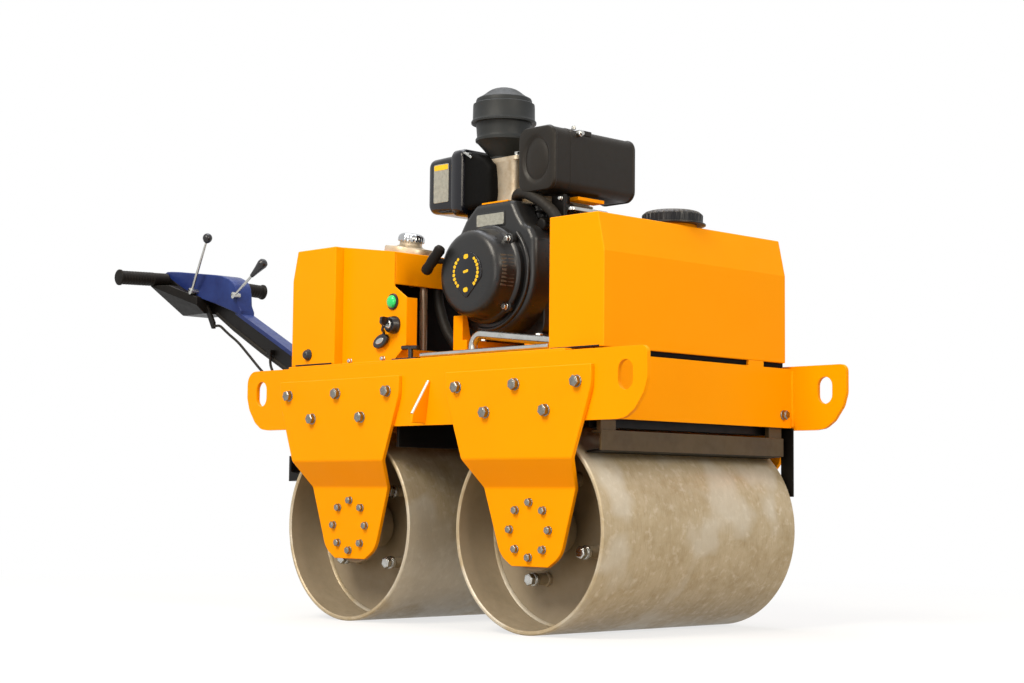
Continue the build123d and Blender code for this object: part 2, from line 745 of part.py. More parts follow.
def starter_grip():
    """Pull grip beside the starter: a slanted bar with a short neck to the cover's rim."""
    y = shroud_face - recoil_depth - starter_grip_radius - cut_margin
    middle = Vector(crank_x - starter_grip_reach, y, crank_z + starter_grip_rise)
    tilt = math.radians(starter_grip_tilt)
    along = Vector(math.sin(tilt), 0, math.cos(tilt))
    bar = Plane(origin=middle, z_dir=along) * Cylinder(starter_grip_radius, starter_grip_length)
    bar = fillet(bar.edges(), starter_grip_radius / 2)
    end = Vector(crank_x - recoil_radius + 2 * starter_neck_radius, shroud_face - recoil_depth / 2, middle.Z)
    run = end - middle
    neck = Plane(origin=middle + run / 2, z_dir=run) * Cylinder(starter_neck_radius, run.length)
    return bar + neck - recoil_starter()


def cylinder_head():
    """Head with fins along its right face and the intake elbow on its top."""
    head = block((head_rear, head_front), (head_right + fin_depth, head_left), (shroud_top, head_top))
    pitch = (head_top - shroud_top) / fin_count
    for k in range(fin_count):
        z = shroud_top + (k + 0.5) * pitch - fin_thickness / 2
        fin_y = (head_right, head_right + fin_depth + cut_margin)
        head += block((head_rear, head_front), fin_y, (z, z + fin_thickness))
    elbow = block((head_rear, precleaner_x + elbow_half_width),
                  (precleaner_y - elbow_half_width, precleaner_y + elbow_half_width),
                  (head_top - cut_margin, head_top + elbow_height))
    return head + elbow


def air_cleaner():
    """Air cleaner box: its cover, proud rim and body, with rounded long edges; the body meets the head."""
    x = head_rear - sum(section[0] for section in cleaner_sections)
    whole = None
    for length, top, bottom, proud in cleaner_sections:
        piece = block((x, x + length), (cleaner_right - proud, cleaner_left + proud),
                      (shroud_top + bottom, shroud_top + top))
        piece = fillet(piece.edges().filter_by(Axis.X), cleaner_edge)
        whole = piece if whole is None else whole + piece
        x += length
    return whole


def pre_cleaner():
    """Turned cyclone pre-cleaner on the intake elbow."""
    profile = [(r, head_top + elbow_height + h) for r, h in precleaner_profile]
    return lathe(profile, precleaner_x, precleaner_y)


def muffler():
    """Box silencer in front of the head, with its exhaust port."""
    box = block((muffler_rear, muffler_rear + muffler_length), (muffler_right, muffler_left),
                (muffler_bottom, muffler_bottom + muffler_height))
    box = fillet(box.edges().filter_by(Axis.Y), muffler_edge)
    ends = box.faces().sort_by(Axis.Y)
    box = fillet(ends[0].edges() + ends[-1].edges(), muffler_rim)
    port_z = (muffler_bottom + head_top) / 2
    return box + rod_x(exhaust_radius, (head_front, muffler_rear + cut_margin), exhaust_y, port_z)


def engine_mounts():
    """Two rails across the deck under the engine, each with an upright gusset at its right end."""
    rails = []
    for low_x in (engine_rear + rear_mount_inset, engine_front - front_mount_inset):
        x = (low_x, low_x + mount_width)
        rail = block(x, (mount_right, mount_left), (deck_top, engine_base))
        slope_end = shroud_face - moving_gap
        crest = engine_base + gusset_height
        gusset = [(mount_right, engine_base - cut_margin), (slope_end, engine_base - cut_margin),
                  (slope_end, engine_base), (mount_right + gusset_crest, crest), (mount_right, crest)]
        rails.append(rail + cross_shape(gusset, x))
    return rails


def hydraulic_pump():
    """Pump on the engine's left end: flange, round body and valve block."""
    z = crank_z - pump_drop
    end = engine_left + pump_length
    pump = rod_y(pump_flange_radius, crank_x, (engine_left, engine_left + pump_flange), z)
    pump += rod_y(pump_radius, crank_x, (engine_left + pump_flange - cut_margin, end), z)
    return pump + block((crank_x - valve_half, crank_x + valve_half), (end - 2 * valve_half, end),
                        (z + pump_radius / 2, z + pump_radius + valve_height))


# ---------------------------------------------------------------- pipes and hose
def bent_tube(points, radius, tightest=None):
    """Round tube along straight runs joined by arcs of 0.45 of the shorter run, or of a given bend radius."""
    vectors = [Vector(*p) for p in points]
    radii = []
    for before, corner, after in zip(vectors, vectors[1:], vectors[2:]):
        run = min((corner - before).length, (after - corner).length)
        turn = (corner - before).get_angle(after - corner)
        radii.append(tightest or 0.45 * run / math.tan(math.radians(turn / 2)))
    print("arc radii", [round(r, 1) for r in radii])
    path = FilletPolyline(*vectors, radius=radii)
    section = Plane(origin=path @ 0, z_dir=path % 0) * Circle(radius)
    return sweep(section, path=path)


def water_pipes():
    """Bright pipe from the deck into the tank's rear wall, and the thin pipe along the deck's edge."""
    end_z = deck_top + water_pipe_end_rise
    points = [(water_pipe_x, deck_top), (water_pipe_x, deck_top + water_pipe_rise),
              (tank_rear - 2 * water_pipe_radius, end_z), (tank_rear, end_z)]
    bright = bent_tube([(x, water_pipe_y, z) for x, z in points], water_pipe_radius, water_pipe_bend)
    thin = rod_x(side_pipe_radius, (side_pipe_start, tank_rear), side_pipe_y, deck_top + side_pipe_rise)
    return [bright, thin]


def riser_pipe():
    """Upright pipe from the deck, turned back into the oil tank."""
    x, top = hood_front - riser_from_front, deck_top + riser_rise
    return bent_tube([(x, riser_y, deck_top), (x, riser_y, top), (oil_tank_front, riser_y, top)],
                     riser_radius, riser_bend)


def hose_points():
    """Corners of the hose: down from its upper fitting, then turning forwards twice."""
    x, z = hood_front - hose_from_front, deck_top + hose_rise
    points = [(x, hose_y, z)]
    for corner, run in enumerate(hose_runs):
        angle = math.radians(corner * hose_turn)
        x, z = x + run * math.sin(angle), z - run * math.cos(angle)
        points.append((x, hose_y, z))
    return points


def hose_fittings():
    """Block on the oil tank's front that the hose leaves downwards, and the slanted one on the deck."""
    (x, _, z), (end_x, _, end_z) = hose_points()[0], hose_points()[-1]
    y = (hose_y - fitting_half, hose_y + fitting_half)
    upper = block((oil_tank_front, x + hose_radius + cut_margin), y, (z, z + fitting_height))
    slant = math.radians(len(hose_runs) * hose_turn - hose_turn)
    across, up = fitting_half * math.cos(slant), fitting_half * math.sin(slant)
    outline = [(end_x - across, deck_top), (end_x - across, end_z - up), (end_x + across, end_z + up),
               (end_x - across + fitting_base, end_z - up), (end_x - across + fitting_base, deck_top)]
    return [upper, side_plate_shape(outline, y)]


# ---------------------------------------------------------------- scrapers and guard
def blade_tip(axle_x, side, z):
    """Point just clear of a drum's surface at one height, in front of its axle or behind it."""
    reach = drum_radius + moving_gap
    return axle_x + side * math.sqrt(reach ** 2 - (z - axle_z) ** 2), z


def front_scraper():
    """Bar in front of the front drum, its blade and two brackets up to the cross plate."""
    face, back = front_scraper_face, front_scraper_face - scraper_thickness
    low, high = [blade_tip(half_base, 1, front_scraper_bottom - drop) for drop in front_blade_drops]
    outline = [(face, front_scraper_top), (back, front_scraper_top),
               (back, front_scraper_bottom + scraper_thickness), high, low, (face, front_scraper_bottom)]
    bar = side_plate_shape(outline, (-scraper_half_width, scraper_half_width))
    for side in (-1, 1):
        y = sorted((side * (scraper_half_width - bracket_width), side * scraper_half_width))
        bar += block((back, face), y, (front_scraper_top - cut_margin, cross_bottom))
    return bar


def rear_scraper():
    """Bar behind the rear drum, its blade and two hangers on the cross plate."""
    face, back = rear_scraper_face, rear_scraper_face + scraper_thickness
    low, high = [blade_tip(-half_base, -1, rear_scraper_bottom + rise) for rise in rear_blade_rises]
    outline = [(face, rear_scraper_bottom), (face, rear_scraper_top), (back, rear_scraper_top),
               (back, high[1] + scraper_thickness), high, low, (back, rear_scraper_bottom)]
    bar = side_plate_shape(outline, (-scraper_half_width, scraper_half_width))
    for side in (-1, 1):
        outer = scraper_half_width - hanger_inset
        y = sorted((side * (outer - hanger_width), side * outer))
        bar += block((back - cut_margin, cross_rear_face), y,
                     (rear_scraper_top - hanger_overlap, cross_bottom + hanger_overlap))
    return bar


def hose_guard():
    """Thin guard plate that hangs from the front cross plate beside the left side plate."""
    rear = cross_front_face - guard_from_face
    return block((rear, rear + guard_length), (plate_inner - guard_thickness, plate_inner),
                 (cross_bottom - guard_drop, cross_bottom))


# ---------------------------------------------------------------- handle
def on_arm(shape):
    """Shape drawn with the arm level and the pivot at the origin, moved to its working slope."""
    return Pos(pivot_x, 0, pivot_z) * Rot(0, arm_pitch, 0) * shape


def arm_tube():
    """Plain outer shape of the arm, from the pivot to the crossbar."""
    y = (-arm_half_width, arm_half_width)
    return on_arm(block((-arm_length, 0), y, (-arm_half_depth, arm_half_depth)))


def handle_frame():
    """Welded handle: arm, pivot boss with its pin, and the crossbar."""
    boss_half = ear_inner - soft_gap
    pin_half = ear_inner + pivot_ear_thickness + pivot_pin_proud
    frame = arm_tube() + rod_y(pivot_boss_radius, pivot_x, (-boss_half, boss_half), pivot_z)
    frame += rod_y(pivot_radius, pivot_x, (-pin_half, pin_half), pivot_z)
    return frame + crossbar()


def crossbar():
    """Straight tube that the operator holds."""
    return rod_y(crossbar_radius, crossbar_x, (-crossbar_half_length, crossbar_half_length), crossbar_z)


def arm_cap():
    """Painted channel over the arm's top, from near the pivot to the console."""
    end = (pivot_x - console_nose) / math.cos(arm_rise)
    top = arm_half_depth + cap_thickness
    outer = block((-end, -cap_start), (-cap_half_width, cap_half_width), (top - cap_skirt, top))
    inner = block((-end - cut_margin, cut_margin - cap_start), (-arm_half_width, arm_half_width),
                  (top - cap_skirt - cut_margin, arm_half_depth))
    y = past((-cap_half_width, cap_half_width))
    behind_nose = block((crossbar_x, console_nose), y, (pivot_z, crossbar_z))
    return on_arm(outer - inner) - behind_nose


def from_crossbar(points):
    """X and Z pairs given from the crossbar's middle, as places on the machine."""
    return [(crossbar_x + x, crossbar_z + z) for x, z in points]


def plan_column(plan):
    """Upright column whose plan is symmetric: X from the crossbar, half width."""
    edge = [(x, half) for x, half in plan] + [(x, -half) for x, half in reversed(plan)]
    outline = Polyline(*[(crossbar_x + x, y, 0) for x, y in edge], close=True)
    return extrude(make_face(outline), 2 * crossbar_z, dir=(0, 0, 1))


def console_cover():
    """Cover over the arm's upper end: nearly level top, upright nose and tapered sides."""
    _, nose_low = arm_place((pivot_x - console_nose) / math.cos(arm_rise), 0)
    nose_low -= crossbar_z
    outline = [(console_back, console_rear_rise - console_rear_edge),
               (console_back + console_rear_edge, console_rear_rise), console_top_end, console_brow,
               (console_nose_reach, (console_brow[1] + nose_low) / 2), (console_nose_reach, nose_low),
               console_chin]
    outline += reversed(console_seam)
    body = side_plate_shape(from_crossbar(outline), (-frame_half_width, frame_half_width))
    return (body & plan_column(console_plan)) - arm_tube() - crossbar()


def console_box():
    """Box below the console, narrowing down towards the arm, which passes through it."""
    top = console_seam[0][1]
    top_half = box_bottom_half + (top + box_drop) * box_slope
    section = [(-box_bottom_half, box_bottom), (box_bottom_half, box_bottom),
               (top_half, crossbar_z + top), (-top_half, crossbar_z + top)]
    across = cross_shape(section, (crossbar_x + box_back, box_front))
    side = [(box_back, top)] + console_seam[1:] + [(box_reach, -box_drop), (box_foot_back, -box_drop)]
    body = across & side_plate_shape(from_crossbar(side), (-top_half, top_half))
    return (body & plan_column([(box_back, top_half), (box_reach, box_front_half)])) - arm_tube()


def handle_grips():
    """Rubber grips with a small flange at each outer end, closed over the tube."""
    grips = []
    for side in (-1, 1):
        outer = side * (crossbar_half_length + grip_end)
        sleeve = rod_y(grip_radius, crossbar_x, sorted((outer, outer - side * grip_length)), crossbar_z)
        flange_y = sorted((outer, outer - side * grip_flange))
        sleeve += rod_y(grip_flange_radius, crossbar_x, flange_y, crossbar_z)
        grips.append(sleeve - crossbar())
    return grips


def lever(line, y, inner_y, knob):
    """Control lever beside the console: its pivot boss, its rod and a knob on the rod's own axis."""
    (base_x, base_z), (tip_x, tip_z) = from_crossbar([line[:2], line[2:]])
    low, high = Vector(base_x, y, base_z), Vector(tip_x, y, tip_z)
    rod = Plane(origin=(low + high) / 2, z_dir=high - low) * Cylinder(lever_rod_radius, (high - low).length)
    boss = rod_y(lever_boss_radius, base_x, (y - lever_rod_radius - cut_margin, inner_y), base_z)
    return rod + boss + Plane(origin=high, z_dir=high - low) * knob


def travel_lever(console, box):
    """Tall travel lever with a ball knob."""
    ball = Sphere(travel_ball_radius)
    return lever(travel_lever_line, travel_lever_y, travel_lever_inner, ball) - console - box


def throttle_lever(console):
    """Short lever at the console's nose with a tapered knob."""
    narrow, wide = throttle_knob_radii
    knob = Pos(0, 0, throttle_knob_length / 2) * Cone(narrow, wide, throttle_knob_length)
    knob = fillet(knob.edges(), narrow / 2)
    return lever(throttle_lever_line, throttle_lever_y, -arm_half_width, knob) - console


def from_pivot(points):
    """Points given from the pivot, as places on the machine."""
    return [(pivot_x + x, y, pivot_z + z) for x, y, z in points]


def cable_clips():
    """Bracket on the box's front wall and two clips on the arm's right side that hold the cables."""
    (start_x, _, start_z), = from_pivot(upper_cable[:1])
    low, high = start_z - 2 * cable_radius, start_z + 3 * cable_radius
    bracket = [(box_front, box_bottom), (box_front, box_bottom + cable_bracket_rise),
               (start_x, high), (start_x, low), (start_x - 3 * cable_radius, low)]
    clips = [side_plate_shape(bracket, cable_bracket_y)]
    for x, outer, z in (middle_clip, lower_clip):
        clips.append(block([pivot_x + v for v in x], (outer, -arm_half_width), [pivot_z + v for v in z]))
    return clips


# ---------------------------------------------------------------- write the nodes
os.makedirs("parts", exist_ok=True)

for place, axle_x in (("front", half_base), ("rear", -half_base)):
    save(f"{place}_drum", drum(axle_x))
    leg, bearing = fork_leg(axle_x), hub(axle_x)
    save(f"{place}_leg_right", leg)
    save(f"{place}_leg_left", left_copy(leg))
    save(f"{place}_hubs", [bearing, left_copy(bearing)])

plate = side_plate()
filler_flange_piece, filler_cap_piece = filler()
console, under_box = console_cover(), console_box()

# node name, its shape or its list of shapes
nodes = [
    ("side_plate_right", plate), ("side_plate_left", left_copy(plate)),
    ("front_cross_plate", front_cross_plate()), ("rear_cross_plate", rear_cross_plate()),
    ("pivot_bracket", pivot_bracket()), ("engine_deck", engine_deck()), ("centre_beam", centre_beam()),
    ("water_tank", water_tank()), ("water_tank_cap", tank_cap()),
    ("rear_cover", rear_cover()), ("oil_tank", oil_tank()), ("hood", hood()),
    ("hood_side_right", hood_side()), ("hood_side_left", hood_side_left()),
    ("panel_switches", panel_switches()),
    ("filler_flange", filler_flange_piece), ("filler_cap", filler_cap_piece),
    ("engine_block", engine_block()), ("fan_shroud", fan_shroud()),
    ("recoil_starter", recoil_starter()), ("starter_grip", starter_grip()),
    ("cylinder_head", cylinder_head()), ("air_cleaner", air_cleaner()), ("pre_cleaner", pre_cleaner()),
    ("muffler", muffler()), ("engine_mounts", engine_mounts()), ("hydraulic_pump", hydraulic_pump()),
    ("water_pipes", water_pipes()), ("riser_pipe", riser_pipe()),
    ("suction_hose", bent_tube(hose_points(), hose_radius)), ("hose_fittings", hose_fittings()),
    ("front_scraper", front_scraper()), ("rear_scraper", rear_scraper()), ("hose_guard", hose_guard()),
    ("handle_frame", handle_frame()), ("arm_cap", arm_cap()), ("handle_grips", handle_grips()),
    ("console_cover", console), ("console_box", under_box),
    ("control_levers", [travel_lever(console, under_box), throttle_lever(console)]),
    ("cable_clips", cable_clips()),
    ("control_cables", [bent_tube(from_pivot(route), cable_radius) for route in (upper_cable, lower_cable)]),
]
for name, shape in nodes:
    save(name, shape)
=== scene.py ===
"""Walk-behind double-drum roller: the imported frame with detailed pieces, finishes, light and a camera.

Pieces are built in millimetres and scaled to metres as they are completed, and the studio is in metres. The
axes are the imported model's: +X is the direction of travel, +Y the machine's left and +Z up. Each
sub-assembly is a class whose fields are its own sizes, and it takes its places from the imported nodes.
"""

import logging
import math
from dataclasses import dataclass, field
from enum import Enum

import bmesh
import bpy
from mathutils import Matrix, Vector


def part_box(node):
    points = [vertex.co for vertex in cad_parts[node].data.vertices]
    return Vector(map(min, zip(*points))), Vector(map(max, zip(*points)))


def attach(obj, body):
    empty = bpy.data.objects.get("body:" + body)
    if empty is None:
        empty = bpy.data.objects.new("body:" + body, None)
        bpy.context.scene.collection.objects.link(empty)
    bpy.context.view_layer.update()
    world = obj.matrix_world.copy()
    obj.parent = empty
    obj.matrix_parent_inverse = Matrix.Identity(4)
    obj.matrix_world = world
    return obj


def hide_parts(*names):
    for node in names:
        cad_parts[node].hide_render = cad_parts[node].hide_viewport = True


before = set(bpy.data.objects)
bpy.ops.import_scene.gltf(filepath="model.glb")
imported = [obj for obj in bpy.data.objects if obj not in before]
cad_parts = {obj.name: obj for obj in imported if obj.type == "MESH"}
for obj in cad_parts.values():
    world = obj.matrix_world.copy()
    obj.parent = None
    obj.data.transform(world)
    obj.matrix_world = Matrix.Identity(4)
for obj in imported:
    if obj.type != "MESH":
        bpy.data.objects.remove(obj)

log = logging.getLogger("roller")

Pair = tuple[float, float]
Triple = tuple[float, float, float]
Tree = bpy.types.NodeTree
Socket = bpy.types.NodeSocket

MM = 0.001
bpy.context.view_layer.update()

SHARP_ANGLE = math.radians(34)       # faces that meet at more than this share a sharp edge
FLAT_ANGLE = math.radians(0.5)       # packed faces that meet at less than this are one face
NEARBY = 0.01                        # corners nearer than this are one
POINT_RADIUS = 0.01                  # what a turned shape keeps at its axis, so that it stays closed

COAT_ROUGHNESS = 0.08
WAVE_LENGTH = 260.0                  # of the slow wave in sheet metal
OCTAVE_SHARE = 0.6                   # how strong each finer octave of a noise is
MIX_FIRST, MIX_SECOND = 6, 7         # the two colours that a Mix node takes
MIX_COLOUR = 2                       # the colour that it gives


class Body(Enum):
    """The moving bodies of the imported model."""

    FRAME = "frame"
    FRONT_DRUM = "front_drum"
    REAR_DRUM = "rear_drum"
    HANDLE = "handle"


class Axis(Enum):
    """A main direction, with the two directions across it in order."""

    X = (0, 1, 2)
    Y = (1, 0, 2)
    Z = (2, 0, 1)

    def place(self, along: float, first: float, second: float) -> Vector:
        """The point that lies at these distances along the axis and across it.

        Args:
            along: the distance along the axis.
            first: the distance along the first direction across it.
            second: the distance along the second.

        Returns:
            The point.
        """
        point = [0.0, 0.0, 0.0]
        for index, value in zip(self.value, (along, first, second)):
            point[index] = value
        return Vector(point)


def linear(hex_colour: str) -> tuple[float, float, float, float]:
    """Turn an sRGB hex colour into the linear colour that the shader takes.

    Args:
        hex_colour: six hex digits, such as "ffa800".

    Returns:
        Linear red, green and blue, and an alpha of 1.
    """
    parts = [int(hex_colour[i:i + 2], 16) / 255 for i in (0, 2, 4)]
    red, green, blue = [c / 12.92 if c <= 0.04045 else ((c + 0.055) / 1.055) ** 2.4 for c in parts]
    return red, green, blue, 1.0


def add_node(tree: Tree, kind: str, settings: dict | None = None,
             links: dict | None = None) -> bpy.types.Node:
    """Add one node with its settings and links.

    Args:
        tree: the node tree that takes the node.
        kind: the node's type name.
        settings: properties by name, and socket values by socket name or number.
        links: output sockets to link from, by the name or number of the input.

    Returns:
        The new node.
    """
    node = tree.nodes.new(kind)
    for key, value in (settings or {}).items():
        if isinstance(key, str) and hasattr(node, key):
            setattr(node, key, value)
        else:
            node.inputs[key].default_value = value
    for key, source in (links or {}).items():
        tree.links.new(source, node.inputs[key])
    return node


def noise(size: float, detail: float) -> dict[str, float]:
    """The settings of a noise whose features are this many millimetres across, with this many octaves."""
    return {"Scale": 1 / (size * MM), "Detail": detail, "Roughness": OCTAVE_SHARE}


@dataclass(frozen=True)
class Finish:
    """A real surface: what it is made of, and how the making, the dust and the wear show; on a few finishes,
    painted light too.

    Sizes are in millimetres. The second colour drifts over the first in soft patches, grain is the bump that
    the making leaves, wave is the slow swell of sheet metal, and dust gathers on faces that look up; on the
    blue enamel that upward layer is pale blue, a painted sky reflection.
    """

    name: str
    slot: str
    colour: str
    second: str
    patch: float = 120.0
    mottle: float = 0.35
    rough: Pair = (0.35, 0.5)
    metallic: float = 0.0
    ior: float = 1.5
    shine: float = 0.5
    coat: float = 0.0
    grain: float = 1.5
    depth: float = 0.02
    wave: float = 0.0
    # Dust on faces that look up; on the blue enamel this layer is a painted sky reflection.
    dust_and_sheen: float = 0.0
    dust_and_sheen_colour: str = "b9a98e"

    def material(self) -> bpy.types.Material:
        """Return the finish's material, made once."""
        made = bpy.data.materials.get(self.name)
        return made if made else self._make()

    def _make(self) -> bpy.types.Material:
        """Build the node tree: colour, roughness and bump from patterns of real size.

        Returns:
            The new material.
        """
        material = bpy.data.materials.new(self.name)
        material.use_nodes = True
        tree = material.node_tree
        tree.nodes.clear()
        shader = add_node(tree, "ShaderNodeBsdfPrincipled", {
            "Metallic": self.metallic, "Specular IOR Level": self.shine, "Coat Weight": self.coat,
            "Coat Roughness": COAT_ROUGHNESS})
        if not self.metallic:
            shader.inputs["IOR"].default_value = self.ior
        add_node(tree, "ShaderNodeOutputMaterial", links={"Surface": shader.outputs[0]})
        place = add_node(tree, "ShaderNodeTexCoord").outputs["Object"]
        patches = add_node(tree, "ShaderNodeTexNoise", noise(self.patch, 5.0), {"Vector": place})
        tree.links.new(self._colour(tree, place, patches.outputs[0]), shader.inputs["Base Color"])
        rubs = add_node(tree, "ShaderNodeTexNoise", noise(self.patch / 4, 6.0), {"Vector": place})
        rough = add_node(tree, "ShaderNodeMapRange", {
            "From Min": 0.3, "From Max": 0.7, "To Min": self.rough[0], "To Max": self.rough[1]},
            {"Value": rubs.outputs[0]})
        tree.links.new(rough.outputs[0], shader.inputs["Roughness"])
        tree.links.new(self._relief(tree, place), shader.inputs["Normal"])
        return material

    def _layer(self, tree: Tree, under: Socket, place: Socket, pattern: dict[str, float], span: Pair,
               share: float, colour: str, blend: str = "MIX") -> Socket:
        """Lay a colour over what is there, by a noise.

        Args:
            tree: the node tree.
            under: the colour that is there.
            place: the coordinates of the noise.
            pattern: the settings of the noise.
            span: the noise's values at which the new colour starts and is at its strongest.
            share: the new colour's share at its strongest.
            colour: the new colour.
            blend: how the two mix.

        Returns:
            The colour.
        """
        spots = add_node(tree, "ShaderNodeTexNoise", pattern, {"Vector": place})
        amount = add_node(tree, "ShaderNodeMapRange", {
            "From Min": span[0], "From Max": span[1], "To Max": share}, {"Value": spots.outputs[0]})
        mixed = add_node(tree, "ShaderNodeMix", {
            "data_type": "RGBA", "blend_type": blend, MIX_SECOND: linear(colour)},
            {0: amount.outputs[0], MIX_FIRST: under})
        return mixed.outputs[MIX_COLOUR]

    def _colour(self, tree: Tree, place: Socket, patches: Socket) -> Socket:
        """Mix the two colours in patches, then lay dust on what looks up, which on the blue enamel is a
        painted sky reflection.

        Args:
            tree: the node tree.
            place: the coordinates of the patterns.
            patches: the noise that drives the patches.

        Returns:
            The colour.
        """
        share = add_node(tree, "ShaderNodeMapRange", {
            "From Min": 0.4, "From Max": 0.75, "To Max": self.mottle}, {"Value": patches})
        mixed = add_node(tree, "ShaderNodeMix", {
            "data_type": "RGBA", MIX_FIRST: linear(self.colour), MIX_SECOND: linear(self.second)},
            {0: share.outputs[0]})
        if not self.dust_and_sheen:
            return mixed.outputs[MIX_COLOUR]
        # Faces that look up get dust, and on the blue enamel a pale blue painted sky reflection.
        normal = add_node(tree, "ShaderNodeNewGeometry").outputs["Normal"]
        facing = add_node(tree, "ShaderNodeSeparateXYZ", links={0: normal})
        upward = add_node(tree, "ShaderNodeMapRange", {"From Min": 0.2, "From Max": 1.0},
                          {"Value": facing.outputs["Z"]})
        dust_and_sheen_noise = add_node(tree, "ShaderNodeTexNoise", noise(self.patch / 6, 8.0), {"Vector": place})
        spots = add_node(tree, "ShaderNodeMapRange", {
            "From Min": 0.35, "From Max": 0.75, "To Max": self.dust_and_sheen}, {"Value": dust_and_sheen_noise.outputs[0]})
        amount = add_node(tree, "ShaderNodeMath", {"operation": "MULTIPLY"},
                          {0: upward.outputs[0], 1: spots.outputs[0]})
        dust_and_sheen_mix = add_node(tree, "ShaderNodeMix", {"data_type": "RGBA", MIX_SECOND: linear(self.dust_and_sheen_colour)},
                         {0: amount.outputs[0], MIX_FIRST: mixed.outputs[MIX_COLOUR]})
        return dust_and_sheen_mix.outputs[MIX_COLOUR]

    def _relief(self, tree: Tree, place: Socket) -> Socket:
        """Turn the grain, and the slow wave of sheet metal, into a bumped normal.

        Args:
            tree: the node tree.
            place: the coordinates of the patterns.

        Returns:
            The normal.
        """
        fine = add_node(tree, "ShaderNodeTexNoise", noise(self.grain, 3.0), {"Vector": place})
        bump = add_node(tree, "ShaderNodeBump", {"Distance": self.depth * MM, "Strength": 1.0},
                        {"Height": fine.outputs[0]})
        if self.wave:
            slow = add_node(tree, "ShaderNodeTexNoise", noise(WAVE_LENGTH, 1.0), {"Vector": place})
            bump = add_node(tree, "ShaderNodeBump", {"Distance": self.wave * MM, "Strength": 1.0},
                            {"Height": slow.outputs[0], "Normal": bump.outputs[0]})
        return bump.outputs[0]


@dataclass(frozen=True)
class RolledSteel(Finish):
    """Steel that rolls on stone: blotches of dust, fine pits, scratches that run round the drum, and large
    pale patches of painted sheen.
    """

    scratch: float = 2.0
    scratch_colour: str = "a3937c"
    speck: float = 18.0
    speck_colour: str = "ddd5c6"
    # Size and colour of the large pale patches, which paint reflected light on the drum.
    painted_highlight: float = 210.0
    painted_highlight_colour: str = "d2cfc6"
    # Object coordinates shrunk along the scratches, which draws them out round the drum.
    stretch: Triple = (0.06, 1.0, 0.06)

    def _colour(self, tree: Tree, place: Socket, patches: Socket) -> Socket:
        """Lay rings of scratches, pale specks and large pale patches of painted sheen over the blotches.

        Args:
            tree: the node tree.
            place: the coordinates of the patterns.
            patches: the noise that drives the blotches.

        Returns:
            The colour.
        """
        base = super()._colour(tree, place, patches)
        drawn_out = add_node(tree, "ShaderNodeMapping", {"Scale": self.stretch}, {"Vector": place}).outputs[0]
        scored = self._layer(tree, base, drawn_out, noise(self.scratch, 6.0), (0.52, 0.8), 0.45,
                             self.scratch_colour, "MULTIPLY")
        speckled = self._layer(tree, scored, place, noise(self.speck, 8.0), (0.54, 0.72), 0.42,
                               self.speck_colour)
        # Large pale patches of painted sheen, standing in for reflected light.
        return self._layer(tree, speckled, place, noise(self.painted_highlight, 2.5), (0.5, 0.57), 0.5,
                           self.painted_highlight_colour)


# Enamel sprayed on steel plate and baked: a clean, even gloss with a faint orange peel.
YELLOW_ENAMEL = Finish("sprayed_yellow_enamel", "yellow_paint", "ffa300", "fe9c00", patch=300.0, mottle=0.5,
                       rough=(0.32, 0.44), shine=0.06, grain=2.2, depth=0.012, wave=0.5, dust_and_sheen=0.12)
# Mild steel rolled and ground, then dulled by stone dust: a broken, satin sheen in warm grey, partly painted
# as large pale patches of reflected light.
GROUND_STEEL = RolledSteel("ground_drum_steel", "drum_steel", "b6a88d", "9d8b68", patch=52.0, mottle=0.8,
                           rough=(0.38, 0.62), metallic=0.25, grain=1.2, depth=0.05, wave=0.4)
# The same steel inside the drum's ends, primed and never ground: flat and brown.
PRIMED_STEEL = Finish("primed_recess_steel", "drum_steel", "928570", "81755f", patch=90.0, mottle=0.8,
                      rough=(0.5, 0.68), grain=1.0, depth=0.03, wave=0.4, dust_and_sheen=0.25)
# Black enamel on steel: satin, deep, with a brown film of dust.
BLACK_ENAMEL = Finish("black_enamel", "black_paint", "100e0d", "1a1714", patch=60.0, rough=(0.34, 0.5),
                      shine=0.15, grain=1.6, depth=0.02, dust_and_sheen=0.2, dust_and_sheen_colour="5b5041")
# Brown-black paint on the scraper bars: half matt from dust.
SCRAPER_ENAMEL = Finish("dusty_scraper_enamel", "black_paint", "4a3c26", "372b1b", patch=80.0, mottle=0.8,
                        rough=(0.4, 0.6), shine=0.3, grain=1.2, depth=0.03, dust_and_sheen=0.4, dust_and_sheen_colour="7c6d56")
# Semi-gloss enamel on die castings: soft, wide highlights over a slightly sandy surface.
ENGINE_ENAMEL = Finish("engine_casting_enamel", "engine_black", "1b1c1e", "24221f", patch=50.0,
                       rough=(0.26, 0.4), shine=0.4, grain=1.8, depth=0.05, dust_and_sheen=0.25, dust_and_sheen_colour="4e473c")
# The same casting in a greyer, duller black, whose paleness is a painted highlight on the starter's louvred
# band.
LOUVRE_HIGHLIGHT_CASTING = Finish("louvre_casting_painted_highlight", "engine_black", "5d584f", "3f3b34", patch=14.0, mottle=0.9,
                       rough=(0.34, 0.5), shine=0.4, grain=1.2, depth=0.03)
# Near-black paint, darker than the other blacks, which paints deep shade: on the cleaner's body and in the
# gap under the tank.
SHADE_BLACK = Finish("painted_shade_black", "black_paint", "070707", "0c0b0a", patch=40.0, rough=(0.6, 0.75),
                    shine=0.08, grain=1.2, depth=0.02)
# Sand-cast aluminium, left bare: pale, grainy and warm from oil.
CAST_ALUMINIUM = Finish("sand_cast_aluminium", "head_metal", "c9bda8", "a08a6c", patch=40.0, mottle=0.9,
                        rough=(0.4, 0.6), metallic=0.75, grain=1.4, depth=0.12)
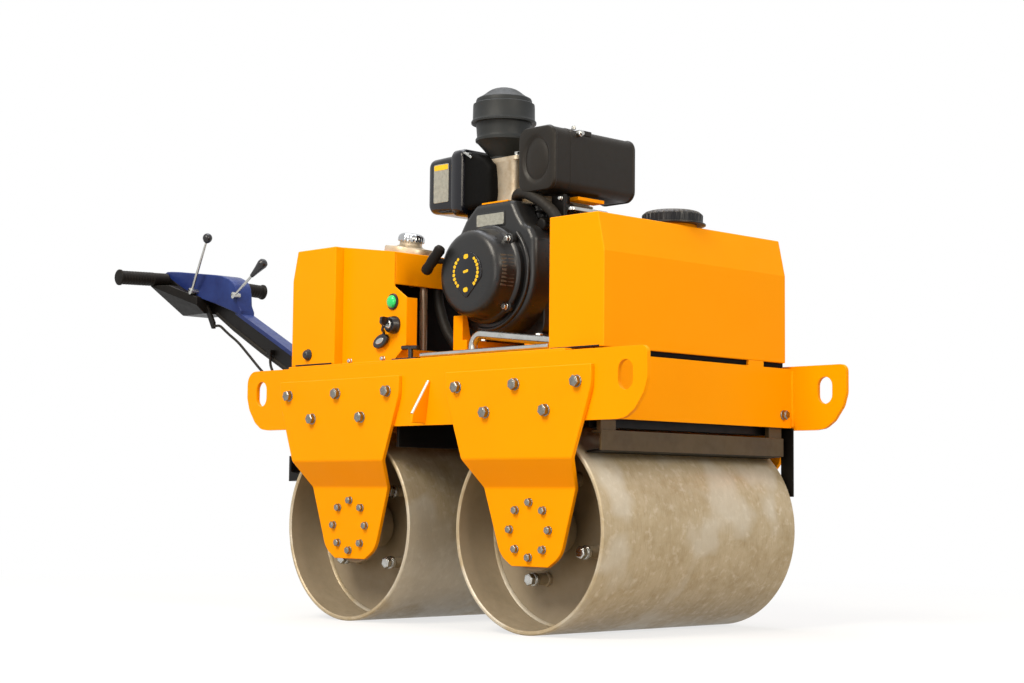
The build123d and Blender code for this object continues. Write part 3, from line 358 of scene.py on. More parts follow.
# Injection-moulded polypropylene: dark, matt with a soft sheen along its radii.
POLYPROPYLENE = Finish("moulded_polypropylene", "cleaner_plastic", "282b2d", "2e3031", patch=45.0,
                       rough=(0.46, 0.56), shine=0.22, grain=0.8, depth=0.02, dust_and_sheen=0.2, dust_and_sheen_colour="4b473e")
# The same plastic with a polished mould: the cleaner's box, nearly black with sharp highlights.
POLISHED_PLASTIC = Finish("polished_moulded_plastic", "cleaner_plastic", "0d0e16", "12131b", patch=45.0,
                          rough=(0.16, 0.28), shine=0.4, grain=3.0, depth=0.01, dust_and_sheen=0.1,
                          dust_and_sheen_colour="4c4840")
# Heat-resistant silicone paint on pressed sheet: even, dark, with a low sheen.
SILENCER_PAINT = Finish("silencer_heat_paint", "silencer_paint", "1b1814", "241f18", patch=60.0,
                        rough=(0.4, 0.54), shine=0.24, grain=1.2, depth=0.03, wave=0.5, dust_and_sheen=0.2,
                        dust_and_sheen_colour="4a4236")
# Black moulded cap of the water tank: ribbed, matt.
CAP_PLASTIC = Finish("moulded_cap_plastic", "tank_cap_plastic", "131519", "1c1f23", patch=30.0,
                     rough=(0.3, 0.45), shine=0.25, grain=0.9, depth=0.02, dust_and_sheen=0.3)
# Zinc plating on bolts, pipes and fittings: bright with a faint milky bloom.
ZINC_PLATE = Finish("bright_zinc_plate", "zinc_steel", "bcbcb8", "a09e96", patch=24.0, mottle=0.6,
                    rough=(0.16, 0.3), metallic=1.0, grain=0.9, depth=0.003)
# The frame's own bolts: the same plating gone grey out of doors.
GREY_ZINC = Finish("weathered_bolt_zinc", "zinc_steel", "8f8c84", "6c6962", patch=9.0, mottle=0.8,
                   rough=(0.2, 0.36), metallic=1.0, grain=0.9, depth=0.004)
# Drawn steel tube wiped with oil: brown-grey with a long satin highlight.
OILED_STEEL = Finish("oiled_steel_tube", "zinc_steel", "a3907a", "86745e", patch=22.0, mottle=0.8,
                     rough=(0.24, 0.38), metallic=0.35, grain=0.8, depth=0.01)
# Chromium on turned steel: a clear mirror.
CHROME = Finish("polished_chrome", "chrome_plate", "b4b5b6", "9d9fa1", patch=14.0, mottle=0.7,
                rough=(0.06, 0.16), metallic=1.0, grain=3.0, depth=0.004)
# Extruded rubber hose: matt, deep black.
HOSE_RUBBER = Finish("extruded_hose_rubber", "hose_rubber", "1b1917", "24211b", patch=25.0, rough=(0.5, 0.7),
                     shine=0.24, grain=0.8, depth=0.03, dust_and_sheen=0.4, dust_and_sheen_colour="5c5140")
# Moulded nitrile grips: matt brown-black, polished by hands in patches.
GRIP_RUBBER = Finish("moulded_grip_rubber", "grip_rubber", "14110f", "1e1a16", patch=30.0, rough=(0.45, 0.65),
                     shine=0.14, grain=0.7, depth=0.03, dust_and_sheen=0.15, dust_and_sheen_colour="6e6250")
# Blue enamel on the console's sheet: gloss, slightly uneven. Its pale blue on faces that look up is a painted
# sky reflection.
BLUE_ENAMEL = Finish("sprayed_blue_enamel", "console_blue", "1a2963", "2b4184", patch=60.0, mottle=0.7,
                     rough=(0.3, 0.46), shine=0.24, grain=2.0, depth=0.02, wave=0.6, dust_and_sheen=0.22,
                     dust_and_sheen_colour="6f7ea6")
# Clear green acrylic lens over a lamp.
LENS_ACRYLIC = Finish("green_lens_acrylic", "switch_plastic", "05d86b", "04c05e", patch=12.0,
                      rough=(0.1, 0.18), coat=0.6, grain=4.0, depth=0.01)
# Black thermoplastic of switch bodies and the key's tag.
SWITCH_PLASTIC = Finish("moulded_switch_plastic", "switch_plastic", "16161a", "1f1f22", patch=12.0,
                        rough=(0.22, 0.36), grain=1.0, depth=0.01)
# Polyester film on the blank plates: grey, satin, scuffed by hands and fuel.
PLATE_FILM = Finish("scuffed_plate_film", "zinc_steel", "aaaaa0", "86867c", patch=9.0, mottle=0.8,
                    rough=(0.25, 0.35), metallic=0.4, grain=0.5, depth=0.005)
# A pale satin strip along the gussets' edges: a painted highlight where the edges catch the light.
GUSSET_HIGHLIGHT_STEEL = Finish("painted_gusset_highlight_steel", "zinc_steel", "c9cac6", "b3b3ae", patch=12.0, rough=(0.25, 0.35),
                      metallic=0.4, grain=0.5, depth=0.005)
# Yellow printing ink on film and on the starter's face.
YELLOW_INK = Finish("yellow_ink", "yellow_paint", "f2c718", "e0b010", patch=10.0, rough=(0.35, 0.45),
                    grain=1.0, depth=0.01)


@dataclass(frozen=True)
class Block:
    """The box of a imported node, in millimetres."""

    low: Vector
    high: Vector

    @classmethod
    def of(cls, node: str) -> "Block":
        """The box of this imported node."""
        low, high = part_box(node)
        return cls(low / MM, high / MM)

    @property
    def middle(self) -> Vector:
        """The box's middle."""
        return (self.low + self.high) / 2


def circle(radius: float, steps: int, start: float = 0.0, sweep: float = 360.0) -> list[Pair]:
    """Points round a circle or an arc.

    Args:
        radius: the circle's radius.
        steps: how many points there are.
        start: the first point's angle in degrees.
        sweep: the whole angle in degrees; a sweep under 360 includes both ends.

    Returns:
        The points.
    """
    gaps = steps if sweep >= 360.0 else steps - 1
    turns = [math.radians(start + sweep * i / gaps) for i in range(steps)]
    return [(radius * math.cos(t), radius * math.sin(t)) for t in turns]


def rounded(low: Pair, high: Pair, radius: float, steps: int = 7) -> list[Pair]:
    """A rectangle with rounded corners.

    Args:
        low: its lowest corner.
        high: its highest corner.
        radius: the corners' radius.
        steps: how many points each corner has.

    Returns:
        The outline.
    """
    corners = [(high[0], high[1], 0), (low[0], high[1], 90), (low[0], low[1], 180), (high[0], low[1], 270)]
    outline = []
    for x, y, turn in corners:
        centre_x = x - radius if x == high[0] else x + radius
        centre_y = y - radius if y == high[1] else y + radius
        outline += [(centre_x + a, centre_y + b) for a, b in circle(radius, steps, turn, 90.0)]
    return outline


def soft(outline: list[Pair], radius: float, steps: int = 7) -> list[Pair]:
    """Round every corner of a closed outline, as far as its sides allow.

    Args:
        outline: the outline's corners.
        radius: the corners' radius.
        steps: how many points each corner gets.

    Returns:
        The rounded outline.
    """
    corners = [Vector((a, b, 0)) for a, b in outline]
    start = (corners[-1] + corners[0]) / 2
    return [(point.x, point.y) for point in bent([start, *corners, start], radius, steps)[:-1]]


def drawn_in(outline: list[Pair], inset: float) -> list[Pair]:
    """Move a closed outline inwards, square to its sides.

    Args:
        outline: the outline.
        inset: how far it moves, or outwards where it is below 0.

    Returns:
        The new outline, with as many points.
    """
    ring = [Vector(point) for point in outline]
    area = sum(a.x * b.y - b.x * a.y for a, b in zip(ring, ring[1:] + ring[:1]))
    turned = []
    for before, point, after in zip(ring[-1:] + ring, ring, ring[1:] + ring[:1]):
        along = ((point - before).normalized() + (after - point).normalized()).normalized()
        inward = Vector((-along.y, along.x)) * math.copysign(inset, area)
        turned.append(tuple(point + inward))
    return turned


def reading(curve: list[Pair], at: float) -> float:
    """Read a value off a curve, whose nearer end counts beyond its ends.

    Args:
        curve: pairs of place and value, their places rising or falling.
        at: the place to read at.

    Returns:
        The value.
    """
    for (a, low), (b, high) in zip(curve, curve[1:]):
        if min(a, b) <= at <= max(a, b):
            return low + (high - low) * (at - a) / (b - a)
    return curve[0][1] if abs(at - curve[0][0]) < abs(at - curve[-1][0]) else curve[-1][1]


def bent(points: list[Vector], radius: float, steps: int = 9) -> list[Vector]:
    """A path with its corners rounded, for a tube bent on a former.

    Args:
        points: the path's ends and corners.
        radius: the bend's radius at the tube's middle line.
        steps: how many points each bend has.

    Returns:
        The path's points.
    """
    path = [points[0]]
    for before, corner, after in zip(points, points[1:], points[2:]):
        back, on = (before - corner).normalized(), (after - corner).normalized()
        half = back.angle(on) / 2
        reach = min(radius / math.tan(half), (before - corner).length * 0.49, (after - corner).length * 0.49)
        centre = corner + (back + on).normalized() * (reach / math.cos(half))
        start, end = corner + back * reach - centre, corner + on * reach - centre
        length = start.length
        turns = [start.normalized().slerp(end.normalized(), i / (steps - 1)) for i in range(steps)]
        path += [centre + turn * length for turn in turns]
    return path + [points[-1]]


@dataclass
class Piece:
    """One visible piece: a mesh in millimetres that grows from skinned rings, then becomes an object."""

    name: str
    finish: Finish
    bevel: float = 0.0
    body: Body = Body.FRAME
    mesh: bmesh.types.BMesh = field(default_factory=bmesh.new, repr=False)

    def skin(self, rings: list[list[Vector]], looped: bool = False) -> "Piece":
        """Join rings of equally many points into a closed shell.

        Args:
            rings: the rings in order.
            looped: join the last ring to the first, instead of closing both ends with a face.

        Returns:
            The piece.
        """
        made = [[self.mesh.verts.new(point) for point in ring] for ring in rings]
        pairs = list(zip(made, made[1:])) + ([(made[-1], made[0])] if looped else [])
        for near, far in pairs:
            for i, vert in enumerate(near):
                j = (i + 1) % len(near)
                self.mesh.faces.new((vert, near[j], far[j], far[i]))
        if not looped:
            self.mesh.faces.new(made[0])
            self.mesh.faces.new(reversed(made[-1]))
        return self

    def prism(self, outline: list[Pair], axis: Axis, low: float, high: float) -> "Piece":
        """Add a plate with this outline across the axis, between two places along it."""
        return self.skin([[axis.place(end, a, b) for a, b in outline] for end in (low, high)])

    def slab(self, low: Triple, high: Triple) -> "Piece":
        """Add a block between two corners."""
        outline = [(low[0], low[1]), (high[0], low[1]), (high[0], high[1]), (low[0], high[1])]
        return self.prism(outline, Axis.Z, low[2], high[2])

    def pressing(self, outline: list[Pair], axis: Axis, foot: float, face: float, radius: float,
                 steps: int = 5) -> "Piece":
        """Add a cover whose rim is rounded where it meets its face.

        Args:
            outline: the outline at the foot.
            axis: the axis that it stands along.
            foot: the foot's place along the axis.
            face: the face's place along the axis.
            radius: the rim's radius.
            steps: how many rings the rim has.

        Returns:
            The piece.
        """
        way = math.copysign(1.0, face - foot)
        rings = [[axis.place(foot, a, b) for a, b in outline]]
        for i in range(steps + 1):
            turn = math.radians(90.0 * i / steps)
            place = face - way * radius * (1 - math.sin(turn))
            ring = drawn_in(outline, radius * (1 - math.cos(turn)))
            rings.append([axis.place(place, a, b) for a, b in ring])
        return self.skin(rings)

    def cut_plate(self, outline: list[Pair], holes: list[list[Pair]], axis: Axis, low: float,
                  high: float) -> "Piece":
        """Add a plate with holes cut through it.

        Args:
            outline: the plate's outline across the axis.
            holes: the holes' outlines.
            axis: the axis that the holes run along.
            low: where the plate starts along the axis.
            high: where it ends.

        Returns:
            The piece.
        """
        for place in (low, high):
            edges = []
            for loop in [outline, *holes]:
                verts = [self.mesh.verts.new(axis.place(place, a, b)) for a, b in loop]
                edges += [self.mesh.edges.new(pair) for pair in zip(verts, verts[1:] + verts[:1])]
            bmesh.ops.triangle_fill(self.mesh, use_beauty=True, use_dissolve=False, edges=edges)
        for loop in [outline, *holes]:
            for (a, b), (c, d) in zip(loop, loop[1:] + loop[:1]):
                corners = [(low, a, b), (low, c, d), (high, c, d), (high, a, b)]
                self.mesh.faces.new([self.mesh.verts.new(axis.place(*corner)) for corner in corners])
        bmesh.ops.remove_doubles(self.mesh, verts=self.mesh.verts, dist=NEARBY)
        return self

    def lofted(self, axis: Axis, sections: list[tuple[float, list[Pair]]]) -> "Piece":
        """Add a shell through outlines that stand at given places along an axis."""
        return self.skin([[axis.place(along, a, b) for a, b in outline] for along, outline in sections])

    def turning(self, profile: list[Pair], at: Vector, out: Vector, steps: int = 32, spin: float = 0.0,
                looped: bool = False) -> "Piece":
        """Add a turned shape, or with few steps a nut or a bolt's head.

        Args:
            profile: pairs of radius and height along the axis.
            at: where height 0 lies.
            out: the axis's direction.
            steps: how many sides it has.
            spin: turn about the axis in degrees.
            looped: the profile closes on itself, as in a tube or a ring.

        Returns:
            The piece.
        """
        turn = out.normalized().to_track_quat("Z", "Y").to_matrix()
        rings = []
        for radius, height in profile:
            ring = circle(max(radius, POINT_RADIUS), steps, spin)
            rings.append([at + turn @ Vector((a, b, height)) for a, b in ring])
        return self.skin(rings, looped)

    def ribbed(self, profile: list[Triple], at: Vector, out: Vector, ribs: int, width: int,
               height: float) -> "Piece":
        """Add a cap whose side is moulded or crimped into ribs, each six points wide with its groove.

        Args:
            profile: radius, height along the axis, and the ribs' share there.
            at: where height 0 lies.
            out: the axis's direction.
            ribs: how many ribs there are.
            width: how many of the six points are moved.
            height: how far they are moved out, or in where it is below 0.

        Returns:
            The piece.
        """
        turn = out.to_track_quat("Z", "Y").to_matrix()
        rings = []
        for radius, along, share in profile:
            ring = []
            for i, (a, b) in enumerate(circle(1.0, ribs * 6)):
                reach = radius + (height * share if i % 6 < width else 0.0)
                ring.append(at + turn @ Vector((reach * a, reach * b, along)))
            rings.append(ring)
        return self.skin(rings)

    def tube(self, path: list[Vector], radii: list[float] | float, steps: int = 20) -> "Piece":
        """Add a round tube along a path.

        Args:
            path: the points of its middle line.
            radii: its radius, the same all along or given at each point.
            steps: how many sides it has.

        Returns:
            The piece.
        """
        sizes = radii if isinstance(radii, list) else [radii] * len(path)
        ways = [path[1] - path[0]] + [b - a for a, b in zip(path, path[2:])] + [path[-1] - path[-2]]
        side = ways[0].orthogonal().normalized()
        rings = []
        for point, way, size in zip(path, ways, sizes):
            side = (side - way.normalized() * side.dot(way.normalized())).normalized()
            across = way.normalized().cross(side)
            rings.append([point + side * a + across * b for a, b in circle(size, steps)])
        return self.skin(rings)

    def bolt(self, at: Vector, out: Vector, across: float, spin: float = 12.0) -> "Piece":
        """Add a washer, a hexagon head with its chamfer, and the bolt's end.

        Args:
            at: the middle of the washer's foot.
            out: the direction that the head looks in.
            across: the head's width across its flats.
            spin: the head's turn in degrees.

        Returns:
            The piece.
        """
        washer, corner, height = across * 0.6, across / math.sqrt(3), across * 0.5
        self.turning([(washer, 0), (washer, 1.8), (washer - 1, 2.6)], at, out, 28)
        head = [(corner, 2.6), (corner, height + 1.2), (corner * 0.86, height + 2.6)]
        self.turning(head, at, out, 6, spin)
        return self.turning([(across * 0.42, height + 1), (across * 0.4, height + 3.1)], at, out, 24)

    def complete(self, *stands_for: str) -> bpy.types.Object:
        """Turn the mesh into an object that rides on its body and wears its finish.

        Args:
            stands_for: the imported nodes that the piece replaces.

        Returns:
            The object.
        """
        bmesh.ops.recalc_face_normals(self.mesh, faces=self.mesh.faces)
        bmesh.ops.scale(self.mesh, vec=(MM, MM, MM), verts=self.mesh.verts)
        data = bpy.data.meshes.new(self.name)
        self.mesh.to_mesh(data)
        self.mesh.free()
        made = bpy.data.objects.new(self.name, data)
        bpy.context.scene.collection.objects.link(made)
        data.materials.append(self.finish.material())
        data.shade_smooth()
        data.set_sharp_from_angle(angle=SHARP_ANGLE)
        if self.bevel:
            soften(made, self.bevel)
        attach(made, self.body.value)
        if stands_for:
            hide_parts(*stands_for)
        log.info("%s: %d faces on %s", self.name, len(data.polygons), self.body.value)
        return made


def soften(piece: bpy.types.Object, width: float) -> None:
    """Round a piece's sharp edges, and keep its flat faces shaded flat.

    Args:
        piece: the piece.
        width: the rounding's width in millimetres.
    """
    edge = piece.modifiers.new("edges", "BEVEL")
    edge.width, edge.segments, edge.limit_method = width * MM, 2, "ANGLE"
    edge.angle_limit = SHARP_ANGLE
    even = piece.modifiers.new("even_shading", "WEIGHTED_NORMAL")
    even.keep_sharp = True


def dress(finish: Finish, *nodes: str, bevel: float = 0.0) -> None:
    """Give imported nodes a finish, and where asked, rounded edges.

    Args:
        finish: the finish.
        nodes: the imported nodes' names.
        bevel: the edges' width in millimetres, or 0 for none.
    """
    for name in nodes:
        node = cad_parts[name]
        for slot in node.material_slots:
            slot.material = finish.material()
        if bevel:
            weld = node.modifiers.new("joined", "WELD")
            weld.merge_threshold = NEARBY * MM
            flat = node.modifiers.new("whole_faces", "DECIMATE")
            flat.decimate_type, flat.angle_limit = "DISSOLVE", FLAT_ANGLE
            soften(node, bevel)
        log.info("%s: dressed in %s", name, finish.name)


RIGHT, LEFT = Vector((0, -1, 0)), Vector((0, 1, 0))
FORWARD, UP = Vector((1, 0, 0)), Vector((0, 0, 1))


@dataclass
class Drum:
    """A rolling drum: its ground shell, and the recess at each end with its weld and its buffer bolts.

    Heights in a recess are given from its end disc's face.
    """

    body: Body
    wall: float = 9.0
    rim: float = 2.5
    recess: float = 108.0
    disc_thickness: float = 4.0
    disc_bore: float = 27.0
    shaft_radius: float = 24.9
    shaft_end: float = 30.0
    weld: float = 6.0
    bolt_turn: float = -23.0
    bolt_circle: float = 112.0
    bolt_count: int = 4
    post_radius: float = 15.0
    post_height: float = 37.0
    buffer_thickness: float = 8.0
    across_flats: float = 23.0
    axle: Vector = field(init=False)
    outer: float = field(init=False)
    inner: float = field(init=False)
    half: float = field(init=False)

    def build(self) -> None:
        """Make the shell, the recesses and the bolts."""
        box = Block.of(self.body.value)
        self.axle = Vector((box.middle.x, 0, box.middle.z))
        self.outer, self.half = (box.high.z - box.low.z) / 2, box.high.y
        self.inner = self.outer - self.wall
        self._shell()
        recesses = Piece(f"{self.body.value}_recesses", PRIMED_STEEL, body=self.body)
        bolts = Piece(f"{self.body.value}_bolts", ZINC_PLATE, 0.6, body=self.body)
        welds = Piece(f"{self.body.value}_welds", GROUND_STEEL, body=self.body)
        for out in (RIGHT, LEFT):
            face = self.axle + out * (self.half - self.recess)
            self._lining(recesses, face, out)
            self._buffers(recesses, bolts, face, out)
            welds.turning(self._bead(), face, out, 180, looped=True)
        recesses.complete()
        bolts.complete()
        welds.complete()

    def _shell(self) -> None:
        """Turn the ground shell, whose rims are broken by a small chamfer."""
        inner, outer, half, rim = self.inner, self.outer, self.half, self.rim
        profile = [(inner, rim - half), (inner + rim, -half), (outer - rim, -half), (outer, rim - half),
                   (outer, half - rim), (outer - rim, half), (inner + rim, half), (inner, half - rim)]
        shell = Piece(f"{self.body.value}_shell", GROUND_STEEL, body=self.body)
        shell.turning(profile, self.axle, LEFT, 240, looped=True).complete(self.body.value)

    def _lining(self, recesses: Piece, face: Vector, out: Vector) -> None:
        """Line a recess with its wall, the fillet at the wall's foot, the end disc and the shaft's end.

        Args:
            recesses: the piece that takes them.
            face: the middle of the disc's face.
            out: the direction that it looks in.
        """
        inner, weld, back = self.inner, self.weld, -self.disc_thickness
        wall, depth = inner - 0.3, self.recess - self.rim
        profile = [(wall, depth), (wall, weld), (inner - weld * 0.4, weld * 0.4), (inner - weld, 0),
                   (self.disc_bore, 0), (self.disc_bore, back), (inner + 2, back), (inner + 2, depth)]
        recesses.turning(profile, face, out, 180, looped=True)
        recesses.turning([(self.shaft_radius, back), (self.shaft_radius, self.shaft_end)], face, out, 48)

    def _buffers(self, recesses: Piece, bolts: Piece, face: Vector, out: Vector) -> None:
        """Stand posts in a ring on the end disc, each with a zinc buffer plate and a bolt on top.

        Args:
            recesses: the piece that takes the posts.
            bolts: the piece that takes the plates and the bolts.
            face: the middle of the disc's face.
            out: the direction that it looks in.
        """
        radius, height, thickness = self.post_radius, self.post_height, self.buffer_thickness
        post = [(radius, -1), (radius, 8), (radius * 0.8, 10), (radius * 0.8, height + 1)]
        plate = [(radius * 0.95, 0), (radius * 0.95, thickness)]
        for a, b in circle(self.bolt_circle, self.bolt_count, self.bolt_turn):
            spot = face + Vector((a, 0, b))
            recesses.turning(post, spot, out, 32)
            bolts.turning(plate, spot + out * height, out, 32)
            bolts.bolt(spot + out * (height + thickness), out, self.across_flats, a)

    def _bead(self) -> list[Pair]:
        """The profile of the crowned bead that joins an end disc to the shell."""
        inner, weld = self.inner, self.weld
        return [(inner - weld - 1, 1), (inner - weld, 4.5), (inner - 2.5, weld + 1.5), (inner, weld)]


@dataclass
class Chassis:
    """The plate frame: side plates, fork legs, cross plates, deck and scrapers, with bolts and welds.

    The legs' rim gives their half width by height, and their lean a shift along X by height.
    """

    leg_pitch: float = 174.0
    upper_row: float = 77.0
    lower_row: float = 22.0
    leg_flats: float = 21.0
    hub_circle: float = 56.0
    hub_flats: float = 14.5
    hub_count: int = 8
    cross_bolt: Pair = (285.0, 464.0)
    cross_flats: float = 18.0
    plate_thickness: float = 10.0
    plate_corner: float = 34.0
    rib_height: float = 10.0
    ear_curve: tuple[Pair, ...] = ((0.0, 78.0), (9.0, 50.0), (32.0, 19.0), (56.0, 3.0), (80.0, 0.0))
    ear_inset: float = 56.0
    slot_half: float = 19.5
    slot_straight: float = 10.0
    slot_rise: float = 86.0
    leg_thickness: float = 10.0
    leg_rim: tuple[Pair, ...] = ((541.0, 211.0), (500.0, 211.0), (428.0, 186.0), (357.0, 160.0),
                                 (298.0, 132.0), (160.0, 87.0), (138.0, 52.0))
    leg_curve: float = 70.0
    leg_lean: tuple[Pair, ...] = ((541.0, -7.0), (357.0, -7.0), (298.0, -4.0), (213.0, 0.0), (0.0, 0.0))
    leg_joggle: Pair = (298.0, 357.0)
    joggle_bend: float = 14.0
    foot_packing: float = 6.0
    packing_radius: float = 70.0
    scraper_drop: float = 23.0
    scraper_rise: float = 25.0
    scraper_flange: float = 26.0
    scraper_lug: Pair = (46.0, 2.0)
    blade_inset: float = 4.0
    blade_reach: float = 46.0
    shade_angle: Pair = (56.0, 300.0)
    weld: float = 6.0
    weld_ripple: Pair = (0.85, 0.12)
    weld_inset: Pair = (4, 6)
    weld_step: int = 4
    gusset_x: float = 365.0
    gusset_thickness: float = 7.0
    gusset_reach: float = 38.0
    gusset_span: Pair = (4.0, 96.0)

    def build(self) -> None:
        """Dress or make the plates, then add the legs, the front scraper, bolts, welds and gussets."""
        dress(YELLOW_ENAMEL, "front_cross_plate", "rear_cross_plate", "engine_deck", "pivot_bracket",
              bevel=1.6)
        dress(PRIMED_STEEL, "front_hubs", "rear_hubs")
        dress(BLACK_ENAMEL, "centre_beam", "hose_guard", bevel=1.0)
        dress(BLACK_ENAMEL, "rear_scraper", bevel=1.2)
        self._side_plates()
        for leg in ("front_leg_right", "front_leg_left", "rear_leg_right", "rear_leg_left"):
            self._leg(leg)
        self._scraper()
        self._bolts()
        self._welds()
        self._gussets()

    def _side_plates(self) -> None:
        """Cut both side plates, each with a slot to lift by in either ear."""
        box = Block.of("side_plate_right")
        rear, front, foot, top = box.low.x, box.high.x, box.low.z, box.high.z
        corners = [(front, top), (rear, top)] + [(rear + a, foot + b) for a, b in self.ear_curve]
        corners += [(front - a, foot + b) for a, b in reversed(self.ear_curve)]
        outline = soft(corners, self.plate_corner, 8)
        slots = []
        for x in (rear + self.ear_inset, front - self.ear_inset):
            arcs = [(a, b + self.slot_straight) for a, b in circle(self.slot_half, 12, 0, 180)]
            arcs += [(a, b - self.slot_straight) for a, b in circle(self.slot_half, 12, 180, 180)]
            slots.append([(x + a, foot + self.slot_rise + b) for a, b in arcs])
        half = box.low.y + self.rib_height
        for name, face in (("side_plate_right", half), ("side_plate_left", -half)):
            inner = face - math.copysign(self.plate_thickness, face)
            plate = Piece(f"{name}_sheet", YELLOW_ENAMEL, 1.6)
            plate.cut_plate(outline, slots, Axis.Y, *sorted((face, inner))).complete(name)

    def _faces(self) -> Pair:
        """How far the legs' faces stand from the middle plane.

        Returns:
            The distances beside the frame and at the feet.
        """
        plate, hubs = Block.of("side_plate_left"), Block.of("front_hubs")
        upper = plate.high.y - self.rib_height + self.leg_thickness
        return upper, hubs.high.y + self.foot_packing + self.leg_thickness

    def _leg(self, name: str) -> None:
        """Press a fork leg: a tapering plate, joggled inwards below the frame, packed out from its hub.

        Args:
            name: the leg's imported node.
        """
        box = Block.of(name)
        side = math.copysign(1.0, box.middle.y)
        rim = bent([Vector((z, half, 0)) for z, half in self.leg_rim], self.leg_curve, 7)
        rim = [(point.x, point.y) for point in rim]
        outer, foot = self._faces()
        low, high = self.leg_joggle
        corners = ((self.leg_rim[0][0], outer), (high, outer), (low, foot), (0.0, foot))
        step = bent([Vector((z, y, 0)) for z, y in corners], self.joggle_bend, 5)
        step = [(point.x, point.y) for point in step]
        places = {z for z, _ in rim} | {z for z, _ in step if z > self.leg_rim[-1][0]}
        rings = []
        for z in sorted(places, reverse=True):
            half, face = reading(rim, z), side * reading(step, z)
            inner = face - side * self.leg_thickness
            middle = box.middle.x + reading(self.leg_lean, z)
            ring = ((-half, face), (half, face), (half, inner), (-half, inner))
            rings.append([Vector((middle + a, y, z)) for a, y in ring])
        plate = Piece(f"{name}_plate", YELLOW_ENAMEL, 1.4).skin(rings)
        hub, axle = Block.of("front_hubs"), Block.of("front_drum").middle
        packing = [(self.packing_radius, 0), (self.packing_radius, self.foot_packing + 1.0)]
        seat = Vector((box.middle.x, side * hub.high.y, axle.z))
        plate.turning(packing, seat, LEFT * side, 48).complete(name)

    def _scraper(self) -> None:
        """Fold the front scraper's bar, hang it on two lugs from a black angle, which also paints the dark
        shade under the cross plate, and fit its blade below.
        """
        box = Block.of("front_scraper")
        face, half = box.high.x, box.high.y
        top, foot = box.high.z - self.scraper_drop, box.low.z + self.scraper_rise
        back, under, inner = face - self.scraper_flange, top - 5, face - 6
        bar = Piece("front_scraper_bar", SCRAPER_ENAMEL, 1.0)
        fold = [(face, top), (back, top), (back, under), (inner, under), (inner, foot), (face, foot)]
        bar.prism(fold, Axis.Y, -half, half)
        for side in (-1, 1):
            start, end = sorted(side * (half - inset) for inset in self.scraper_lug)
            bar.slab((face - 16, start, top - 4), (face - 4, end, box.high.z + 1))
        bar.complete("front_scraper")
        blade = Piece("front_scraper_blade", BLACK_ENAMEL, 0.8)
        tip = face - self.blade_reach
        sheet = [(face - 2, foot + 4), (face - 10, foot + 4), (tip, foot - 0.5), (tip + 2, foot - 4.5),
                 (face - 2, foot - 1)]
        blade.prism(sheet, Axis.Y, self.blade_inset - half, half - self.blade_inset)
        # A black angle behind the bar, which paints the dark shade band under the cross plate.
        depth, reach = self.shade_angle
        blade.slab((face - depth, -reach, top + 6), (back, reach, top + 34))
        blade.complete()

    def _bolts(self) -> None:
        """Add the leg bolts, the hub bolts and the bolt at each end of the front cross plate.

        Every head is turned a little further than the one before, as bolts are left by a wrench.
        """
        bolts = Piece("frame_bolts", GREY_ZINC, 0.5)
        plate = Block.of("side_plate_right").low.z
        rows = [(k * self.leg_pitch, self.upper_row) for k in (-1, 0, 1)]
        rows += [(k * self.leg_pitch / 2, self.lower_row) for k in (-1, 1)]
        for drum in ("front_drum", "rear_drum"):
            axle = Block.of(drum).middle
            for out in (RIGHT, LEFT):
                face, foot = [math.copysign(value, out.y) for value in self._faces()]
                for k, (x, z) in enumerate(rows):
                    x += reading(self.leg_lean, plate + z)
                    bolts.bolt(Vector((axle.x + x, face, plate + z)), out, self.leg_flats, 9.0 + 17.0 * k)
                for k, (x, z) in enumerate(circle(self.hub_circle, self.hub_count, 90.0)):
                    bolts.bolt(Vector((axle.x + x, foot, axle.z + z)), out, self.hub_flats, 5.0 + 23.0 * k)
        front = Block.of("front_cross_plate").high.x
        across, height = self.cross_bolt
        for side in (-1, 1):
            bolts.bolt(Vector((front, side * across, height)), FORWARD, self.cross_flats, 30.0)
        bolts.complete()

    def _welds(self) -> None:
        """Lay rippled fillet beads where the cross plates meet the side plates."""
        welds = Piece("frame_welds", YELLOW_ENAMEL)
        cross, plate = Block.of("front_cross_plate"), Block.of("side_plate_right")
        below, above = self.weld_inset
        heights = range(int(cross.low.z) + below, int(plate.high.z) - above, self.weld_step)
        size, ripple = self.weld_ripple
        sizes = [self.weld * (size + ripple * math.sin(1.9 * i)) for i in range(len(heights))]
        for y in (plate.high.y, -plate.high.y):
            for x in (cross.high.x, Block.of("rear_cross_plate").low.x):
                welds.tube([Vector((x, y, z)) for z in heights], sizes, 10)
        welds.complete()

    def _gussets(self) -> None:
        """Stand a three-cornered gusset on each side plate between the legs, wide at its foot, with a painted
        highlight along its slanted edge.
        """
        plate = Block.of("side_plate_right")
        gussets = Piece("side_gussets", YELLOW_ENAMEL, 1.2)
        # A pale tube along each slanted edge paints the highlight that the edge catches.
        edges = Piece("gusset_painted_highlights", GUSSET_HIGHLIGHT_STEEL)
        foot, top = self.gusset_span
        # The top corner is doubled, which keeps it sharp where the other edges are rounded.
        shape = ((12, 1, top), (12, 1, top), (0, self.gusset_reach, 22), (-2, self.gusset_reach, foot),
                 (-2, -1, foot))
        for side, out in ((plate.low.y + self.rib_height, -1), (-plate.low.y - self.rib_height, 1)):
            near, far = [[Vector((self.gusset_x + shift + x, side + out * reach, plate.low.z + rise))
                          for x, reach, rise in shape] for shift in (0.0, self.gusset_thickness)]
            gussets.skin([near, far])
            upper, lower = [(near[k] + far[k]) / 2 for k in (1, 2)]
            painted_highlight = [upper.lerp(lower, share) for share in (0.02, 0.5, 0.98)]
            edges.tube(painted_highlight, self.gusset_thickness / 2, 12)
        gussets.complete()
        edges.complete()


